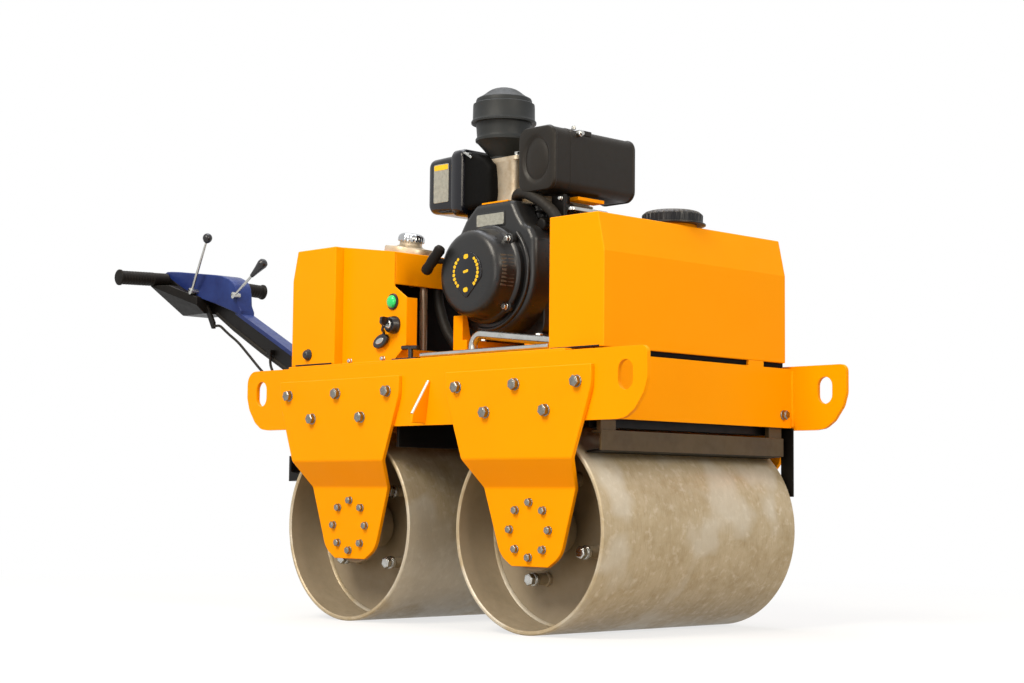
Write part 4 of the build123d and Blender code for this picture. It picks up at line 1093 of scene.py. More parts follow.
@dataclass
class Engine:
    """The single-cylinder engine: shroud, rope starter, block, head, air cleaner, silencer and hose.

    Places with three values are given from the crank's axis and from the shroud's face, and those on a
    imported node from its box. Profiles are pairs of radius and height along their own axis.
    """

    shroud_radius: float = 137.0
    shroud_rim: float = 15.0
    shroud_corner: float = 22.0
    plate_size: Pair = (86.0, 26.0)
    plate_rise: float = 123.0
    plate_frame: float = 4.0
    starter_profile: tuple[Pair, ...] = ((109, -3), (109, 12), (106, 16), (102, 18), (100, 22), (98, 40),
                                         (95, 56), (91, 63), (86, 67.5), (80, 69.8), (73, 70.6), (0, 71))
    starter_taper: float = 0.12
    starter_bolt_circle: float = 104.0
    starter_bolt_turn: float = 43.0
    starter_flats: float = 13.0
    bead_circle: float = 121.0
    louvre_circle: float = 102.5
    louvre_bands: tuple[Pair, ...] = ((22, 37), (40, 55))
    louvre_rows: int = 9
    louvre_pitch: float = 8.0
    louvre_half: float = 2.2
    louvre_depth: float = 12.0
    pad_arch: float = 49.0
    pad_point: float = 55.0
    pad_drop: float = 4.0
    pad_height: float = 2.4
    dash_circle: float = 38.0
    dash_arcs: tuple[Pair, ...] = ((131.0, 98.0), (-45.0, 92.0))
    dash_length: float = 7.4
    dash_widths: Pair = (8.0, 6.0)
    grip_place: Triple = (-95.0, -84.0, 33.0)
    grip_lean: Triple = (0.71, 0.0, 0.70)
    grip_profile: tuple[Pair, ...] = ((6, -38), (10, -36), (13, -29), (11.5, -14), (13, 0), (11.5, 14),
                                      (13, 29), (10, 36), (6, 38))
    eyelet_place: Triple = (-78.0, -60.0, 30.0)
    crankcase_height: float = 190.0
    crankcase_ribs: int = 5
    barrel_inset: float = 34.0
    barrel_foot: float = 180.0
    fin_pitch: float = 15.0
    fin_thickness: float = 3.5
    fin_foot: float = 194.0
    side_cover: Pair = (20.0, 96.0)
    side_cover_bolts: float = 51.0
    head_fins: int = 5
    head_fin_pitch: float = 16.0
    elbow_size: Pair = (74.0, 60.0)
    cleaner_rise: float = 17.0
    cleaner_inset: float = 7.0
    # Two corners each: X from the cleaner's rear, and a height from its foot, or from its top if below 0.
    cleaner_plate: tuple[Pair, Pair] = ((24, 34), (74, -28))
    cleaner_band: tuple[Pair, Pair] = ((26, -42), (72, -30))
    spring_turn: float = 0.9
    spring_pitch: float = 0.5
    spring_points: int = 80
    pre_cleaner_profile: tuple[Pair, ...] = (
        (29, -2), (29, 6), (33, 10), (47, 26), (59, 39), (63.5, 42), (64, 47), (61, 51), (60.5, 54), (62, 72),
        (63.5, 83), (73.5, 83), (74, 87), (72, 90), (70.5, 93), (70, 122), (69.5, 127), (66, 129),
        (63.8, 130), (63.5, 136), (62, 139.5), (58, 142), (52, 145), (45, 150), (38, 155.5), (31, 160),
        (24, 163), (15, 165.4), (7, 166.2), (0, 166.4))
    silencer_width: float = 112.0
    silencer_corner: float = 25.0
    silencer_oval: Pair = (40.0, 52.0)
    strap_places: Pair = (53.0, 71.0)
    strap_height: float = 1.0
    hose_route: tuple[Triple, ...] = ((16, 66, 159), (40, 40, 183), (82, 34, 177), (122, 36, 155),
                                      (160, 40, 125), (172, 52, 79))
    hose_radius: float = 12.5
    hose_bend: float = 60.0
    rail_width: float = 44.0
    gusset_width: float = 30.0
    feet_places: Pair = (-16.0, 12.0)
    x: float = field(init=False)
    z: float = field(init=False)
    face: float = field(init=False)

    def build(self) -> None:
        """Make every part of the engine."""
        shroud = Block.of("fan_shroud")
        self.x, self.z, self.face = shroud.middle.x, shroud.low.z + self.shroud_radius, shroud.low.y
        self._shroud()
        self._starter()
        self._starter_face()
        self._grip()
        self._block()
        self._head()
        self._air_cleaner()
        self._pre_cleaner()
        self._silencer()
        self._hose()
        self._injection_pump()
        self._mounts()
        self._pump()

    def _at(self, x: float, y: float, z: float) -> Vector:
        """A place given from the crank's axis and from the shroud's face."""
        return Vector((self.x + x, self.face + y, self.z + z))

    def _shroud(self) -> None:
        """Press the shroud: a round bottom, shoulders that sweep in to a narrow top, and a blank plate."""
        box = Block.of("fan_shroud")
        top = box.high.z - self.z
        curve = circle(self.shroud_radius, 33, 180.0, 180.0)
        sweep = [(135, 72), (121, 98), (101, 106), (84, 130), (66, top), (-50, top), (-86, 131), (-118, 84)]
        outline = soft([(self.x + a, self.z + b) for a, b in curve + sweep], self.shroud_corner, 6)
        shroud = Piece("fan_shroud_pressing", ENGINE_ENAMEL)
        shroud.pressing(outline, Axis.Y, box.high.y, self.face, self.shroud_rim, 6)
        width, height = self.plate_size
        low = self._at(-width / 2, 0, self.plate_rise - height / 2)
        high = self._at(width / 2, 0, self.plate_rise + height / 2)
        edge = self.plate_frame
        rim = rounded((low.x - edge, low.z - edge), (high.x + edge, high.z + edge), 5.0)
        shroud.pressing(rim, Axis.Y, self.face + 2, self.face - 1.6, 1.2, 2)
        shroud.complete("fan_shroud")
        plate = Piece("shroud_blank_plate", PLATE_FILM, 0.3)
        inner = rounded((low.x, low.z), (high.x, high.z), 3.0)
        plate.prism(inner, Axis.Y, self.face - 1.4, self.face - 2.3).complete()
        strip = Piece("shroud_top_seal", YELLOW_ENAMEL, 1.0)
        strip.slab(self._at(-38, 8, top - 4), self._at(44, 30, top + 1.5))
        strip.complete()

    def _starter(self) -> None:
        """Turn the starter's cover and set louvres on its band and four bolts on its flange."""
        axle = self._at(0, 0, 0)
        cover = Piece("starter_cover", ENGINE_ENAMEL)
        cover.turning(list(self.starter_profile), axle, RIGHT, 96)
        self._louvres()
        bosses = circle(self.starter_bolt_circle, 4, self.starter_bolt_turn)
        for a, b in bosses:
            cover.turning([(13, -2), (13, 17), (11, 19)], axle + Vector((a, 0, b)), RIGHT, 28)
        bead = [axle + Vector((a, -2.0, b)) for a, b in circle(self.bead_circle, 30, -105.0, 150.0)]
        cover.tube(bead, 5.0, 12)
        cover.complete("recoil_starter")
        bolts = Piece("starter_bolts", ZINC_PLATE, 0.4)
        for a, b in bosses:
            bolts.bolt(axle + Vector((a, -19.0, b)), RIGHT, self.starter_flats, a)
        bolts.complete()

    def _louvres(self) -> None:
        """Stack the louvres' bars on both sides of the starter's band, which tapers outwards."""
        # The louvres' paler black paints the highlights on the starter's band.
        louvres = Piece("starter_louvres", LOUVRE_HIGHLIGHT_CASTING)
        rows = [(k - (self.louvre_rows - 1) / 2) * self.louvre_pitch for k in range(self.louvre_rows)]
        depth, half = self.louvre_depth, self.louvre_half
        for side in (-1, 1):
            for near, far in self.louvre_bands:
                for rise in rows:
                    start = math.sqrt(self.louvre_circle ** 2 - rise ** 2) - near * self.starter_taper
                    end = start - (far - near) * self.starter_taper
                    corners = [(start - depth, near), (start, near), (end, far), (end - depth, far)]
                    outline = [(self.x + side * reach, self.face - out) for reach, out in corners]
                    louvres.prism(outline, Axis.Z, self.z + rise - half, self.z + rise + half)
        louvres.complete()

    def _starter_face(self) -> None:
        """Raise the pointed pad on the starter's face and print its ring of dashes."""
        face = self.face - self.starter_profile[-1][1]
        corners = circle(self.pad_arch, 25, -12.0, 204.0) + [(0.0, -self.pad_point)]
        outline = soft([(self.x + a, self.z - self.pad_drop + b) for a, b in corners], 9.0, 5)
        pad = Piece("starter_pad", POLISHED_PLASTIC)
        pad.pressing(outline, Axis.Y, face + 2, face - self.pad_height, 2.0, 3)
        pad.complete()
        ink = Piece("starter_dashes", YELLOW_INK)
        at = face - self.pad_height
        # Place, length, width and turn of each mark: three single ones, then the dashes of the ring.
        marks = [(0.0, 34.0, 14.0, 10.0, 8.0), (0.0, -39.0, 14.0, 10.0, 6.0), (0.0, 1.5, 16.0, 6.0, 12.0)]
        wide, narrow = self.dash_widths
        for start, sweep in self.dash_arcs:
            for a, b in circle(self.dash_circle, 8, start, sweep):
                width = wide if len(marks) % 3 else narrow
                marks.append((a, b, self.dash_length, width, math.degrees(math.atan2(b, a)) + 90))
        for a, b, length, width, turn in marks:
            flat = rounded((-length / 2, -width / 2), (length / 2, width / 2), width * 0.35, 3)
            cos, sin = math.cos(math.radians(turn)), math.sin(math.radians(turn))
            ring = [(self.x + a + u * cos - v * sin, self.z + b + u * sin + v * cos) for u, v in flat]
            ink.prism(ring, Axis.Y, at + 0.3, at - 0.5)
        ink.complete()

    def _grip(self) -> None:
        """Lean the starter's T-grip on the cover's upper left, its rope passing through an eyelet."""
        middle, eye = self._at(*self.grip_place), self._at(*self.eyelet_place)
        lean = Vector(self.grip_lean)
        grip = Piece("starter_t_grip", GRIP_RUBBER)
        grip.tube([middle + lean * along for _, along in self.grip_profile],
                  [radius for radius, _ in self.grip_profile], 20)
        grip.tube([middle, middle.lerp(eye, 0.5), eye], [8.0, 6.5, 5.0], 16)
        grip.complete("starter_grip")
        eyelet = Piece("starter_eyelet", CAST_ALUMINIUM)
        ring = [(5, 0), (9, 0), (10, 3), (8, 7), (5, 7)]
        eyelet.turning(ring, eye + (eye - middle) * 0.1, middle - eye, 24, looped=True)
        eyelet.complete()

    def _block(self) -> None:
        """Cast the crankcase and its finned cylinder, with a dipstick, a drain plug and a side cover."""
        box = Block.of("engine_block")
        low, high = box.low, box.high
        block = Piece("crankcase", ENGINE_ENAMEL, 3.0)
        block.slab((low.x + 4, low.y, low.z), (high.x - 4, high.y, low.z + 12))
        case = rounded((low.x, low.z + 8), (high.x, low.z + self.crankcase_height), 26.0)
        block.pressing(case, Axis.Y, low.y, high.y, 12.0)
        for k in range(self.crankcase_ribs):
            x = low.x + 22 + k * (high.x - low.x - 44) / (self.crankcase_ribs - 1)
            block.slab((x - 3, low.y + 10, low.z + 20), (x + 3, high.y + 4, low.z + 170))
        inset = self.barrel_inset
        barrel = (low.x + inset, low.y + 14), (high.x - inset, high.y - 34)
        block.prism(rounded(*barrel, 24.0), Axis.Z, low.z + self.barrel_foot, high.z)
        fin = rounded((barrel[0][0] - 16, barrel[0][1] - 8), (barrel[1][0] + 16, barrel[1][1] + 16), 30.0)
        count = int((high.z - low.z - self.fin_foot - 2) / self.fin_pitch)
        for k in range(count + 1):
            z = low.z + self.fin_foot + k * self.fin_pitch
            block.prism(fin, Axis.Z, z, z + self.fin_thickness)
        across, rise = self.side_cover
        side = Vector((high.x, (low.y + high.y) / 2 + across, low.z + rise))
        block.turning([(62, -2), (62, 3), (58, 6), (40, 7), (38, 10), (0, 10)], side, FORWARD, 48)
        block.complete("engine_block")
        fittings = Piece("crankcase_bolts", ZINC_PLATE, 0.4)
        for a, b in circle(self.side_cover_bolts, 6, 30.0):
            fittings.bolt(side + Vector((5, a, b)), FORWARD, 10.0, a)
        fittings.bolt(Vector((high.x, low.y + 32, low.z + 34)), FORWARD, 17.0)
        fittings.complete()
        dipstick = Piece("oil_dipstick", YELLOW_ENAMEL, 1.0)
        knob = [(9, 0), (9, 14), (14, 16), (14, 24), (10, 26)]
        socket = Vector((high.x - 4, high.y - 30, low.z + 60))
        dipstick.turning(knob, socket, Vector((1, 0, 0.8)), 12)
        dipstick.complete()

    def _head(self) -> None:
        """Cast the cylinder head: a smooth intake elbow to the right, fins to the left, a cover on top."""
        box = Block.of("cylinder_head")
        low, high = box.low, box.high
        head = Piece("cylinder_head_casting", CAST_ALUMINIUM, 1.2)
        core = rounded((low.x + 6, low.y + 30), (high.x, high.y), 12.0)
        head.pressing(core, Axis.Z, low.z, high.z - 12, 5.0)
        fin = rounded((low.x, low.y + 70), (high.x + 4, high.y + 10), 16.0)
        for k in range(self.head_fins):
            z = low.z + 10 + k * self.head_fin_pitch
            head.prism(fin, Axis.Z, z, z + 4)
        width, depth = self.elbow_size
        waists = ((low.z + 4, 0), (low.z + 30, 3), (low.z + 62, 1), (high.z - 16, -3), (high.z - 8, -5))
        elbow = []
        for z, waist in waists:
            corner = low.x - 4 + waist, low.y - 2 + waist
            elbow.append((z, rounded(corner, (low.x + width - waist, low.y + depth), 14.0)))
        head.lofted(Axis.Z, elbow)
        flange = rounded((low.x - 10, low.y - 6), (low.x + width + 10, low.y + depth + 2), 12.0)
        head.prism(flange, Axis.Z, high.z - 9, high.z + 1)
        cover = rounded((low.x + 14, low.y + 76), (high.x - 6, high.y - 8), 14.0)
        head.pressing(cover, Axis.Z, high.z - 14, high.z + 8, 6.0)
        head.complete("cylinder_head")
        bolts = Piece("cylinder_head_bolts", ZINC_PLATE, 0.4)
        seats = [(x, low.y + 4, high.z + 1) for x in (low.x - 2, low.x + width + 1)]
        seats += [(x, y, high.z + 7) for y in (low.y + 84, high.y - 18) for x in (low.x + 24, high.x - 16)]
        for seat in seats:
            bolts.bolt(Vector(seat), UP, 12.0, seat[0])
        bolts.complete()

    def _air_cleaner(self) -> None:
        """Mould the cleaner: a rounded cover with a blank plate, a proud rim, and a near-black body, painted
        in shade, with clips.
        """
        box = Block.of("air_cleaner")
        right, left = box.low.y + self.cleaner_inset, box.high.y - self.cleaner_inset
        foot, top = box.low.z, box.high.z + self.cleaner_rise
        rear, length = box.low.x, box.high.x - box.low.x

        def shell(piece: Piece, stations: tuple[tuple[float, ...], ...]) -> None:
            """Loft a shell.

            Args:
                piece: the piece that takes it.
                stations: place along X, inset, the foot's and the top's shift, and corner radius.
            """
            piece.lofted(Axis.X, [
                (rear + x, rounded((right + inset, foot + low), (left - inset, top + high), radius))
                for x, inset, low, high, radius in stations])

        cover = Piece("air_cleaner_cover", POLISHED_PLASTIC)
        shell(cover, ((0, 12, 24, -22, 18), (1, 8, 20, -18, 18), (4, 4, 16, -15, 18), (9, 1, 13, -13, 17),
                      (16, 0, 11, -12, 16), (50, 0, 8, -11, 16), (90, 0, 6, -10, 16)))
        shell(cover, ((86, -1, 6, -6, 16), (88, -5, 3, -2, 18), (92, -7, 0, 0, 19), (118, -7, 0, 0, 19),
                      (122, -5, 2, -2, 18), (125, 1, 8, -8, 16)))
        cover.complete("air_cleaner")
        # The body's near-black colour paints the deep shade that lies on it.
        body = Piece("air_cleaner_body", SHADE_BLACK)
        shell(body, ((120, 3, 8, -6, 14), (140, 3, 10, -8, 14), (length - 2, 3, 11, -26, 14),
                     (length + 10, 3, 12, -38, 14), (length + 16, 7, 16, -43, 14),
                     (length + 18, 12, 20, -48, 12)))
        corner = Vector((rear, right, foot))
        drain = [corner + Vector(place) for place in ((118, 40, 10), (122, 40, -26), (134, 50, -60))]
        body.tube(drain, [17.0, 15.0, 12.0], 20)
        body.complete()
        metal = Piece("air_cleaner_clips", ZINC_PLATE, 0.4)
        strap = [(rear + a, top + b) for a, b in ((118, -8), (128, -9), (150, -22), (148, -27), (127, -14),
                                                  (118, -13))]
        for y, out in ((right, -1), (left, 1)):
            metal.prism(strap, Axis.Y, *sorted((y + out * 1.0, y - out * 14)))
            metal.tube([Vector((rear + 140, y + out * reach, top - 16)) for reach in (3, -16)], 3.0, 12)
        spring = []
        for k in range(self.spring_points):
            turn = k * self.spring_turn
            place = Vector((112 + 4 * math.cos(turn), 34 + 4 * math.sin(turn), -34 - k * self.spring_pitch))
            spring.append(corner + place)
        metal.tube(spring, 1.1, 8)
        metal.complete()
        for name, finish, (low, high), corner_radius, height in (
                ("air_cleaner_blank_plate", PLATE_FILM, self.cleaner_plate, 4.0, 1.2),
                ("air_cleaner_plate_band", YELLOW_INK, self.cleaner_band, 2.0, 1.8)):
            start = foot if low[1] > 0 else top
            outline = rounded((rear + low[0], start + low[1]), (rear + high[0], top + high[1]), corner_radius)
            label = Piece(name, finish, 0.3 if finish is PLATE_FILM else 0.0)
            label.prism(outline, Axis.Y, right + 1, right - height).complete()

    def _pre_cleaner(self) -> None:
        """Turn the pre-cleaner: a bell dome, a wide band with a lip, and a stepped bowl on a neck."""
        box = Block.of("pre_cleaner")
        foot = Vector((box.middle.x, box.middle.y, box.low.z))
        cleaner = Piece("pre_cleaner_turning", POLYPROPYLENE)
        cleaner.turning(list(self.pre_cleaner_profile), foot, UP, 72)
        cleaner.complete("pre_cleaner")

    def _silencer(self) -> None:
        """Press the silencer's shell and ends, with an oval bead, rolled rims, a strap and its bracket."""
        box = Block.of("muffler")
        low, high = Vector((box.high.x - self.silencer_width, box.low.y, box.low.z)), box.high
        shell = rounded((low.x, low.z), (high.x, high.z), self.silencer_corner, 9)
        silencer = Piece("silencer_shell", SILENCER_PAINT)
        right, left = self._silencer_end(shell, low.y, 1), self._silencer_end(shell, high.y, -1)
        silencer.lofted(Axis.Y, right + left[::-1])
        start, end = [low.y + place for place in self.strap_places]
        slim, strap = drawn_in(shell, 1.8), drawn_in(shell, -self.strap_height)
        silencer.lofted(Axis.Y, [(start, slim), (start + 0.5, strap), (end - 0.5, strap), (end, slim)])
        pad = rounded((high.x - 40, low.y + 83), (high.x - 3, low.y + 123), 4.0)
        silencer.pressing(pad, Axis.Z, high.z - 14, high.z - 3, 2.0, 2)
        inlet = Vector((low.x - 8, low.y + 169, (low.z + high.z) / 2 - 20))
        silencer.turning([(17, 0), (17, 12)], inlet, FORWARD, 32)
        silencer.complete("muffler")
        metal = Piece("silencer_bolts", ZINC_PLATE, 0.4)
        stud = Vector((high.x - 4, low.y + 79, high.z - 13))
        metal.turning([(7, 0), (7, 9), (5, 10), (5, 15)], stud, FORWARD, 20)
        metal.bolt(Vector((high.x - 14, low.y + 75, high.z - 2)), UP, 9.0)
        tray = rounded((high.x - 40, low.y + 43), (high.x + 14, low.y + 163), 10.0)
        metal.pressing(tray, Axis.Z, low.z - 42, low.z - 34, 3.0, 3)
        metal.complete()
        bracket = Piece("silencer_bracket", YELLOW_ENAMEL, 1.0)
        bracket.slab((high.x - 46, low.y + 89, low.z - 13), (high.x - 12, low.y + 173, low.z - 5))
        bracket.complete()

    def _silencer_end(self, shell: list[Pair], y: float, way: int) -> list[tuple[float, list[Pair]]]:
        """The stations of one end, from its oval bead out to the shell.

        Args:
            shell: the shell's outline.
            y: where the end lies.
            way: 1 where the shell runs on along +Y, and -1 where it runs on against it.

        Returns:
            Places along Y, each with an outline of as many points as the shell.
        """
        centre_x, centre_z = [sum(ends) / 2 for ends in ((min(v), max(v)) for v in zip(*shell))]
        width, height = self.silencer_oval
        round_trip = circle(1.0, len(shell), 5.0)
        stations = []
        for depth, scale in ((1.2, 0.3), (1.6, 0.7), (3.6, 0.8), (4.6, 0.88), (2.6, 0.97), (0.4, 1.04),
                             (0.0, 1.1)):
            oval = [(centre_x + width * scale * a, centre_z + height * scale * b) for a, b in round_trip]
            stations.append((y + way * depth, oval))
        for depth, inset in ((0.0, 8.0), (1.6, 3.0), (5.0, 0.4), (7.5, 0.0), (10.0, 0.5), (11.5, 1.8)):
            stations.append((y + way * depth, drawn_in(shell, inset)))
        return stations

    def _hose(self) -> None:
        """Lead the thick hose from the head over the shroud's shoulder."""
        hose = Piece("engine_hose", HOSE_RUBBER)
        route = [self._at(*place) for place in self.hose_route]
        hose.tube(bent(route, self.hose_bend, 9), self.hose_radius, 20)
        hose.complete()

    def _injection_pump(self) -> None:
        """Cast the injection pump beside the shroud, with its governor cover, its union and its bolts."""
        pump = Piece("injection_pump", BLACK_ENAMEL, 2.5)
        low, high = self._at(92, 74, 29), self._at(150, 140, 135)
        pump.pressing(rounded((low.x, low.y), (high.x, high.y), 14.0), Axis.Z, low.z, high.z, 8.0)
        pump.turning([(24, 0), (24, 30), (20, 34), (14, 36), (14, 52)], self._at(124, 104, 123), UP, 32)
        pump.turning([(15, 0), (15, 40), (11, 43)], self._at(120, 78, 105), RIGHT, 28)
        pump.slab(self._at(132, 56, 109), self._at(172, 66, 169))
        pump.complete()
        bolts = Piece("injection_pump_bolts", ZINC_PLATE, 0.4)
        bolts.bolt(self._at(142, 56, 126), RIGHT, 11.0)
        bolts.bolt(self._at(163, 56, 160), RIGHT, 9.0, 40)
        for k in range(3):
            bolts.bolt(self._at(104 + 18 * k, 74, 69), RIGHT, 8.0, 30 * k)
        bolts.complete()

    def _mounts(self) -> None:
        """Stand the engine on two rails, with the upright gusset at the right end of the rear one."""
        box, block = Block.of("engine_mounts"), Block.of("engine_block")
        base, width = block.low.z, self.rail_width
        mounts = Piece("engine_mount_rails", YELLOW_ENAMEL, 2.0)
        for x, crest in ((box.low.x, True), (box.high.x - width, False)):
            start = box.low.y if crest else self.face + 20
            mounts.slab((x, start, box.low.z - 0.5), (x + width, box.high.y, base))
            if crest:
                wedge = [(start, base - 1), (self.face - 3, base - 1), (self.face - 3, base),
                         (start + 14, box.high.z), (start, box.high.z)]
                mounts.prism(wedge, Axis.X, x, x + self.gusset_width)
        mounts.complete("engine_mounts")
        feet = Piece("engine_feet_bolts", ZINC_PLATE, 0.4)
        right, left = self.feet_places
        for x in (box.low.x + width / 2, box.high.x - width / 2):
            for y in (block.low.y + right, block.high.y + left):
                feet.bolt(Vector((x, y, base)), UP, 16.0, x)
        feet.complete()

    def _pump(self) -> None:
        """Turn the hydraulic pump on the engine's left end, with its valve block and ports."""
        box = Block.of("hydraulic_pump")
        radius, length = (box.high.x - box.low.x) / 2, box.high.y - box.low.y
        axle = Vector((box.middle.x, box.low.y, box.low.z + radius))
        flange, barrel, end = radius * 0.78, radius * 0.74, radius * 0.4
        pump = Piece("hydraulic_pump_body", ENGINE_ENAMEL, 1.2)
        pump.turning([(radius, -2), (radius, 10), (radius - 4, 12), (flange, 14), (flange, 22), (barrel, 24),
                      (barrel, length - 14), (radius * 0.66, length - 4), (end, length - 3), (end, length),
                      (0, length)], axle, LEFT, 64)
        pump.slab((axle.x - 26, box.high.y - 52, axle.z + 30), (axle.x + 26, box.high.y - 4, box.high.z))
        pump.complete("hydraulic_pump")
        ports = Piece("hydraulic_pump_ports", ZINC_PLATE, 0.4)
        for a, b in circle(radius - 8, 4, 45.0):
            ports.bolt(axle + Vector((a, 11, b)), LEFT, 11.0, a)
        for out in (-FORWARD, FORWARD):
            port = Vector((axle.x, box.high.y - 28, box.high.z - 16)) + out * 26
            ports.turning([(11, 0), (11, 10), (8, 11), (8, 20)], port, out, 6)
        ports.complete()


@dataclass
class Housing:
    """What stands on the rear housing: lamp, key switch, filler, plug, bolts and the deck's latch.

    Pairs are places on the hood's right side, from its rear lower corner.
    """

    lamp: Pair = (176.5, 133.0)
    switch: Pair = (183.0, 80.5)
    fob: Pair = (145.5, 46.0)
    plug: Pair = (62.5, 25.5)
    bolt_places: tuple[Pair, ...] = ((32.0, 7.0), (147.0, 7.0))
    latch: Pair = (240.5, 26.0)
    cap_lean: float = 9.5
    cap_crimps: int = 18
    cap_profile: tuple[Triple, ...] = (
        (21, 25, 0), (29, 25, 0.2), (31, 27, 0.7), (31, 34, 0.7), (29, 39, 0.5), (26, 42.5, 0.2), (21, 45, 0),
        (12, 46.2, 0), (0.5, 46.5, 0))
    x: float = field(init=False)
    z: float = field(init=False)
    face: float = field(init=False)

    def build(self) -> None:
        """Make the fittings of the right side and of the top."""
        side = Block.of("hood_side_right")
        self.x, self.z, self.face = side.low.x, side.low.z, side.low.y
        black = Piece("switch_and_bezels", SWITCH_PLASTIC)
        metal = Piece("key_and_side_bolts", ZINC_PLATE, 0.4)
        self._lamp(black)
        self._switch(black, metal)
        self._latch(black)
        for x, z in self.bolt_places:
            metal.bolt(self._on_side(x, z), RIGHT, 10.0, x)
        black.complete("panel_switches")
        metal.complete()
        self._filler()

    def _on_side(self, x: float, z: float) -> Vector:
        """A place on the hood's right side, from its rear lower corner."""
        return Vector((self.x + x, self.face, self.z + z))

    def _lamp(self, black: Piece) -> None:
        """Set the green lens in its bezel.

        Args:
            black: the piece that takes the bezel.
        """
        spot = self._on_side(*self.lamp)
        lens = Piece("lamp_lens", LENS_ACRYLIC)
        dome = [(14.5, 0), (14.5, 5), (13.5, 8), (10.5, 10.5), (6, 12), (0, 12.5)]
        lens.turning(dome, spot, RIGHT, 40).complete()
        black.turning([(18.5, -1), (18.5, 2.5), (17, 4.5), (15, 4.5)], spot, RIGHT, 40)

    def _switch(self, black: Piece, metal: Piece) -> None:
        """Turn the key switch, with its key, the key's bow, and a fob that hangs from it on a cord.

        Args:
            black: the piece that takes the switch, the bow, the fob and the cord.
            metal: the piece that takes the key and the disc on the fob.
        """
        switch, fob = self._on_side(*self.switch), self._on_side(*self.fob)
        black.turning([(20, -1), (20, 4), (18.5, 6), (17.5, 16), (15.5, 18.5), (0, 18.5)], switch, RIGHT, 40)
        bow = [(switch.y - out, switch.z + rise)
               for out, rise in ((22, 15), (40, 17), (42, 2), (34, -4), (22, 2))]
        black.prism(soft(bow, 5.0, 4), Axis.X, switch.x - 3.5, switch.x + 3.5)
        # Width, height, lean and points of the fob's oval, and of the disc on it.
        tag, disc = [[(fob.x + width * a, fob.z + height * b + lean * a) for a, b in circle(1.0, steps)]
                     for width, height, lean, steps in ((24, 15, 6, 28), (13, 6.5, 3.2, 24))]
        black.pressing(tag, Axis.Y, fob.y - 5, fob.y - 12, 3.0, 3)
        cord = [switch + Vector((0, -32, 0)), switch + Vector((-8, -30, -14)), fob + Vector((14, -10, 22)),
                fob + Vector((8, -9, 8))]
        black.tube(bent(cord, 10.0, 5), 3.2, 10)
        metal.turning([(9, 16), (9, 20), (7, 22), (0, 22)], switch, RIGHT, 28)
        metal.slab(switch + Vector((-1.4, -34, -4)), switch + Vector((1.4, -20, 5)))
        metal.pressing(disc, Axis.Y, fob.y - 11, fob.y - 13, 1.0, 2)

    def _latch(self, black: Piece) -> None:
        """Screw in the cover's plug, and set the deck's latch with its foot.

        Args:
            black: the piece that takes them.
        """
        cover = Block.of("rear_cover")
        across, rise = self.plug
        plug = Vector((cover.low.x + across, cover.low.y, self.z + rise))
        black.turning([(13.5, -1), (13.5, 2), (11.5, 4), (10, 9), (7, 11.5), (0, 12)], plug, RIGHT, 32)
        latch = self._on_side(*self.latch)
        black.tube([latch + Vector((-27, -2, 2)), latch + Vector((24, -2, 0))], 5.0, 14)
        black.tube([latch + Vector((0, -2, 2)), latch + Vector((0, -2, -26))], 5.5, 14)
        black.slab((latch.x - 56, latch.y - 9, self.z - 0.5), (latch.x + 24, latch.y + 5, self.z + 4.5))

    def _filler(self) -> None:
        """Turn the filler's flange and neck, and its crimped chrome cap."""
        base = Block.of("filler_flange").middle
        lean = math.radians(self.cap_lean)
        out = Vector((math.sin(lean), 0, math.cos(lean)))
        collar = Piece("filler_collar", CAST_ALUMINIUM)
        collar.turning([(59, -3), (59, 9), (57, 12), (34, 13.5), (28, 16), (26, 18), (26, 30)], base, out, 64)
        collar.complete("filler_flange")
        cap = Piece("filler_chrome_cap", CHROME)
        cap.ribbed(list(self.cap_profile), base, out, self.cap_crimps, 2, -1.6).complete("filler_cap")


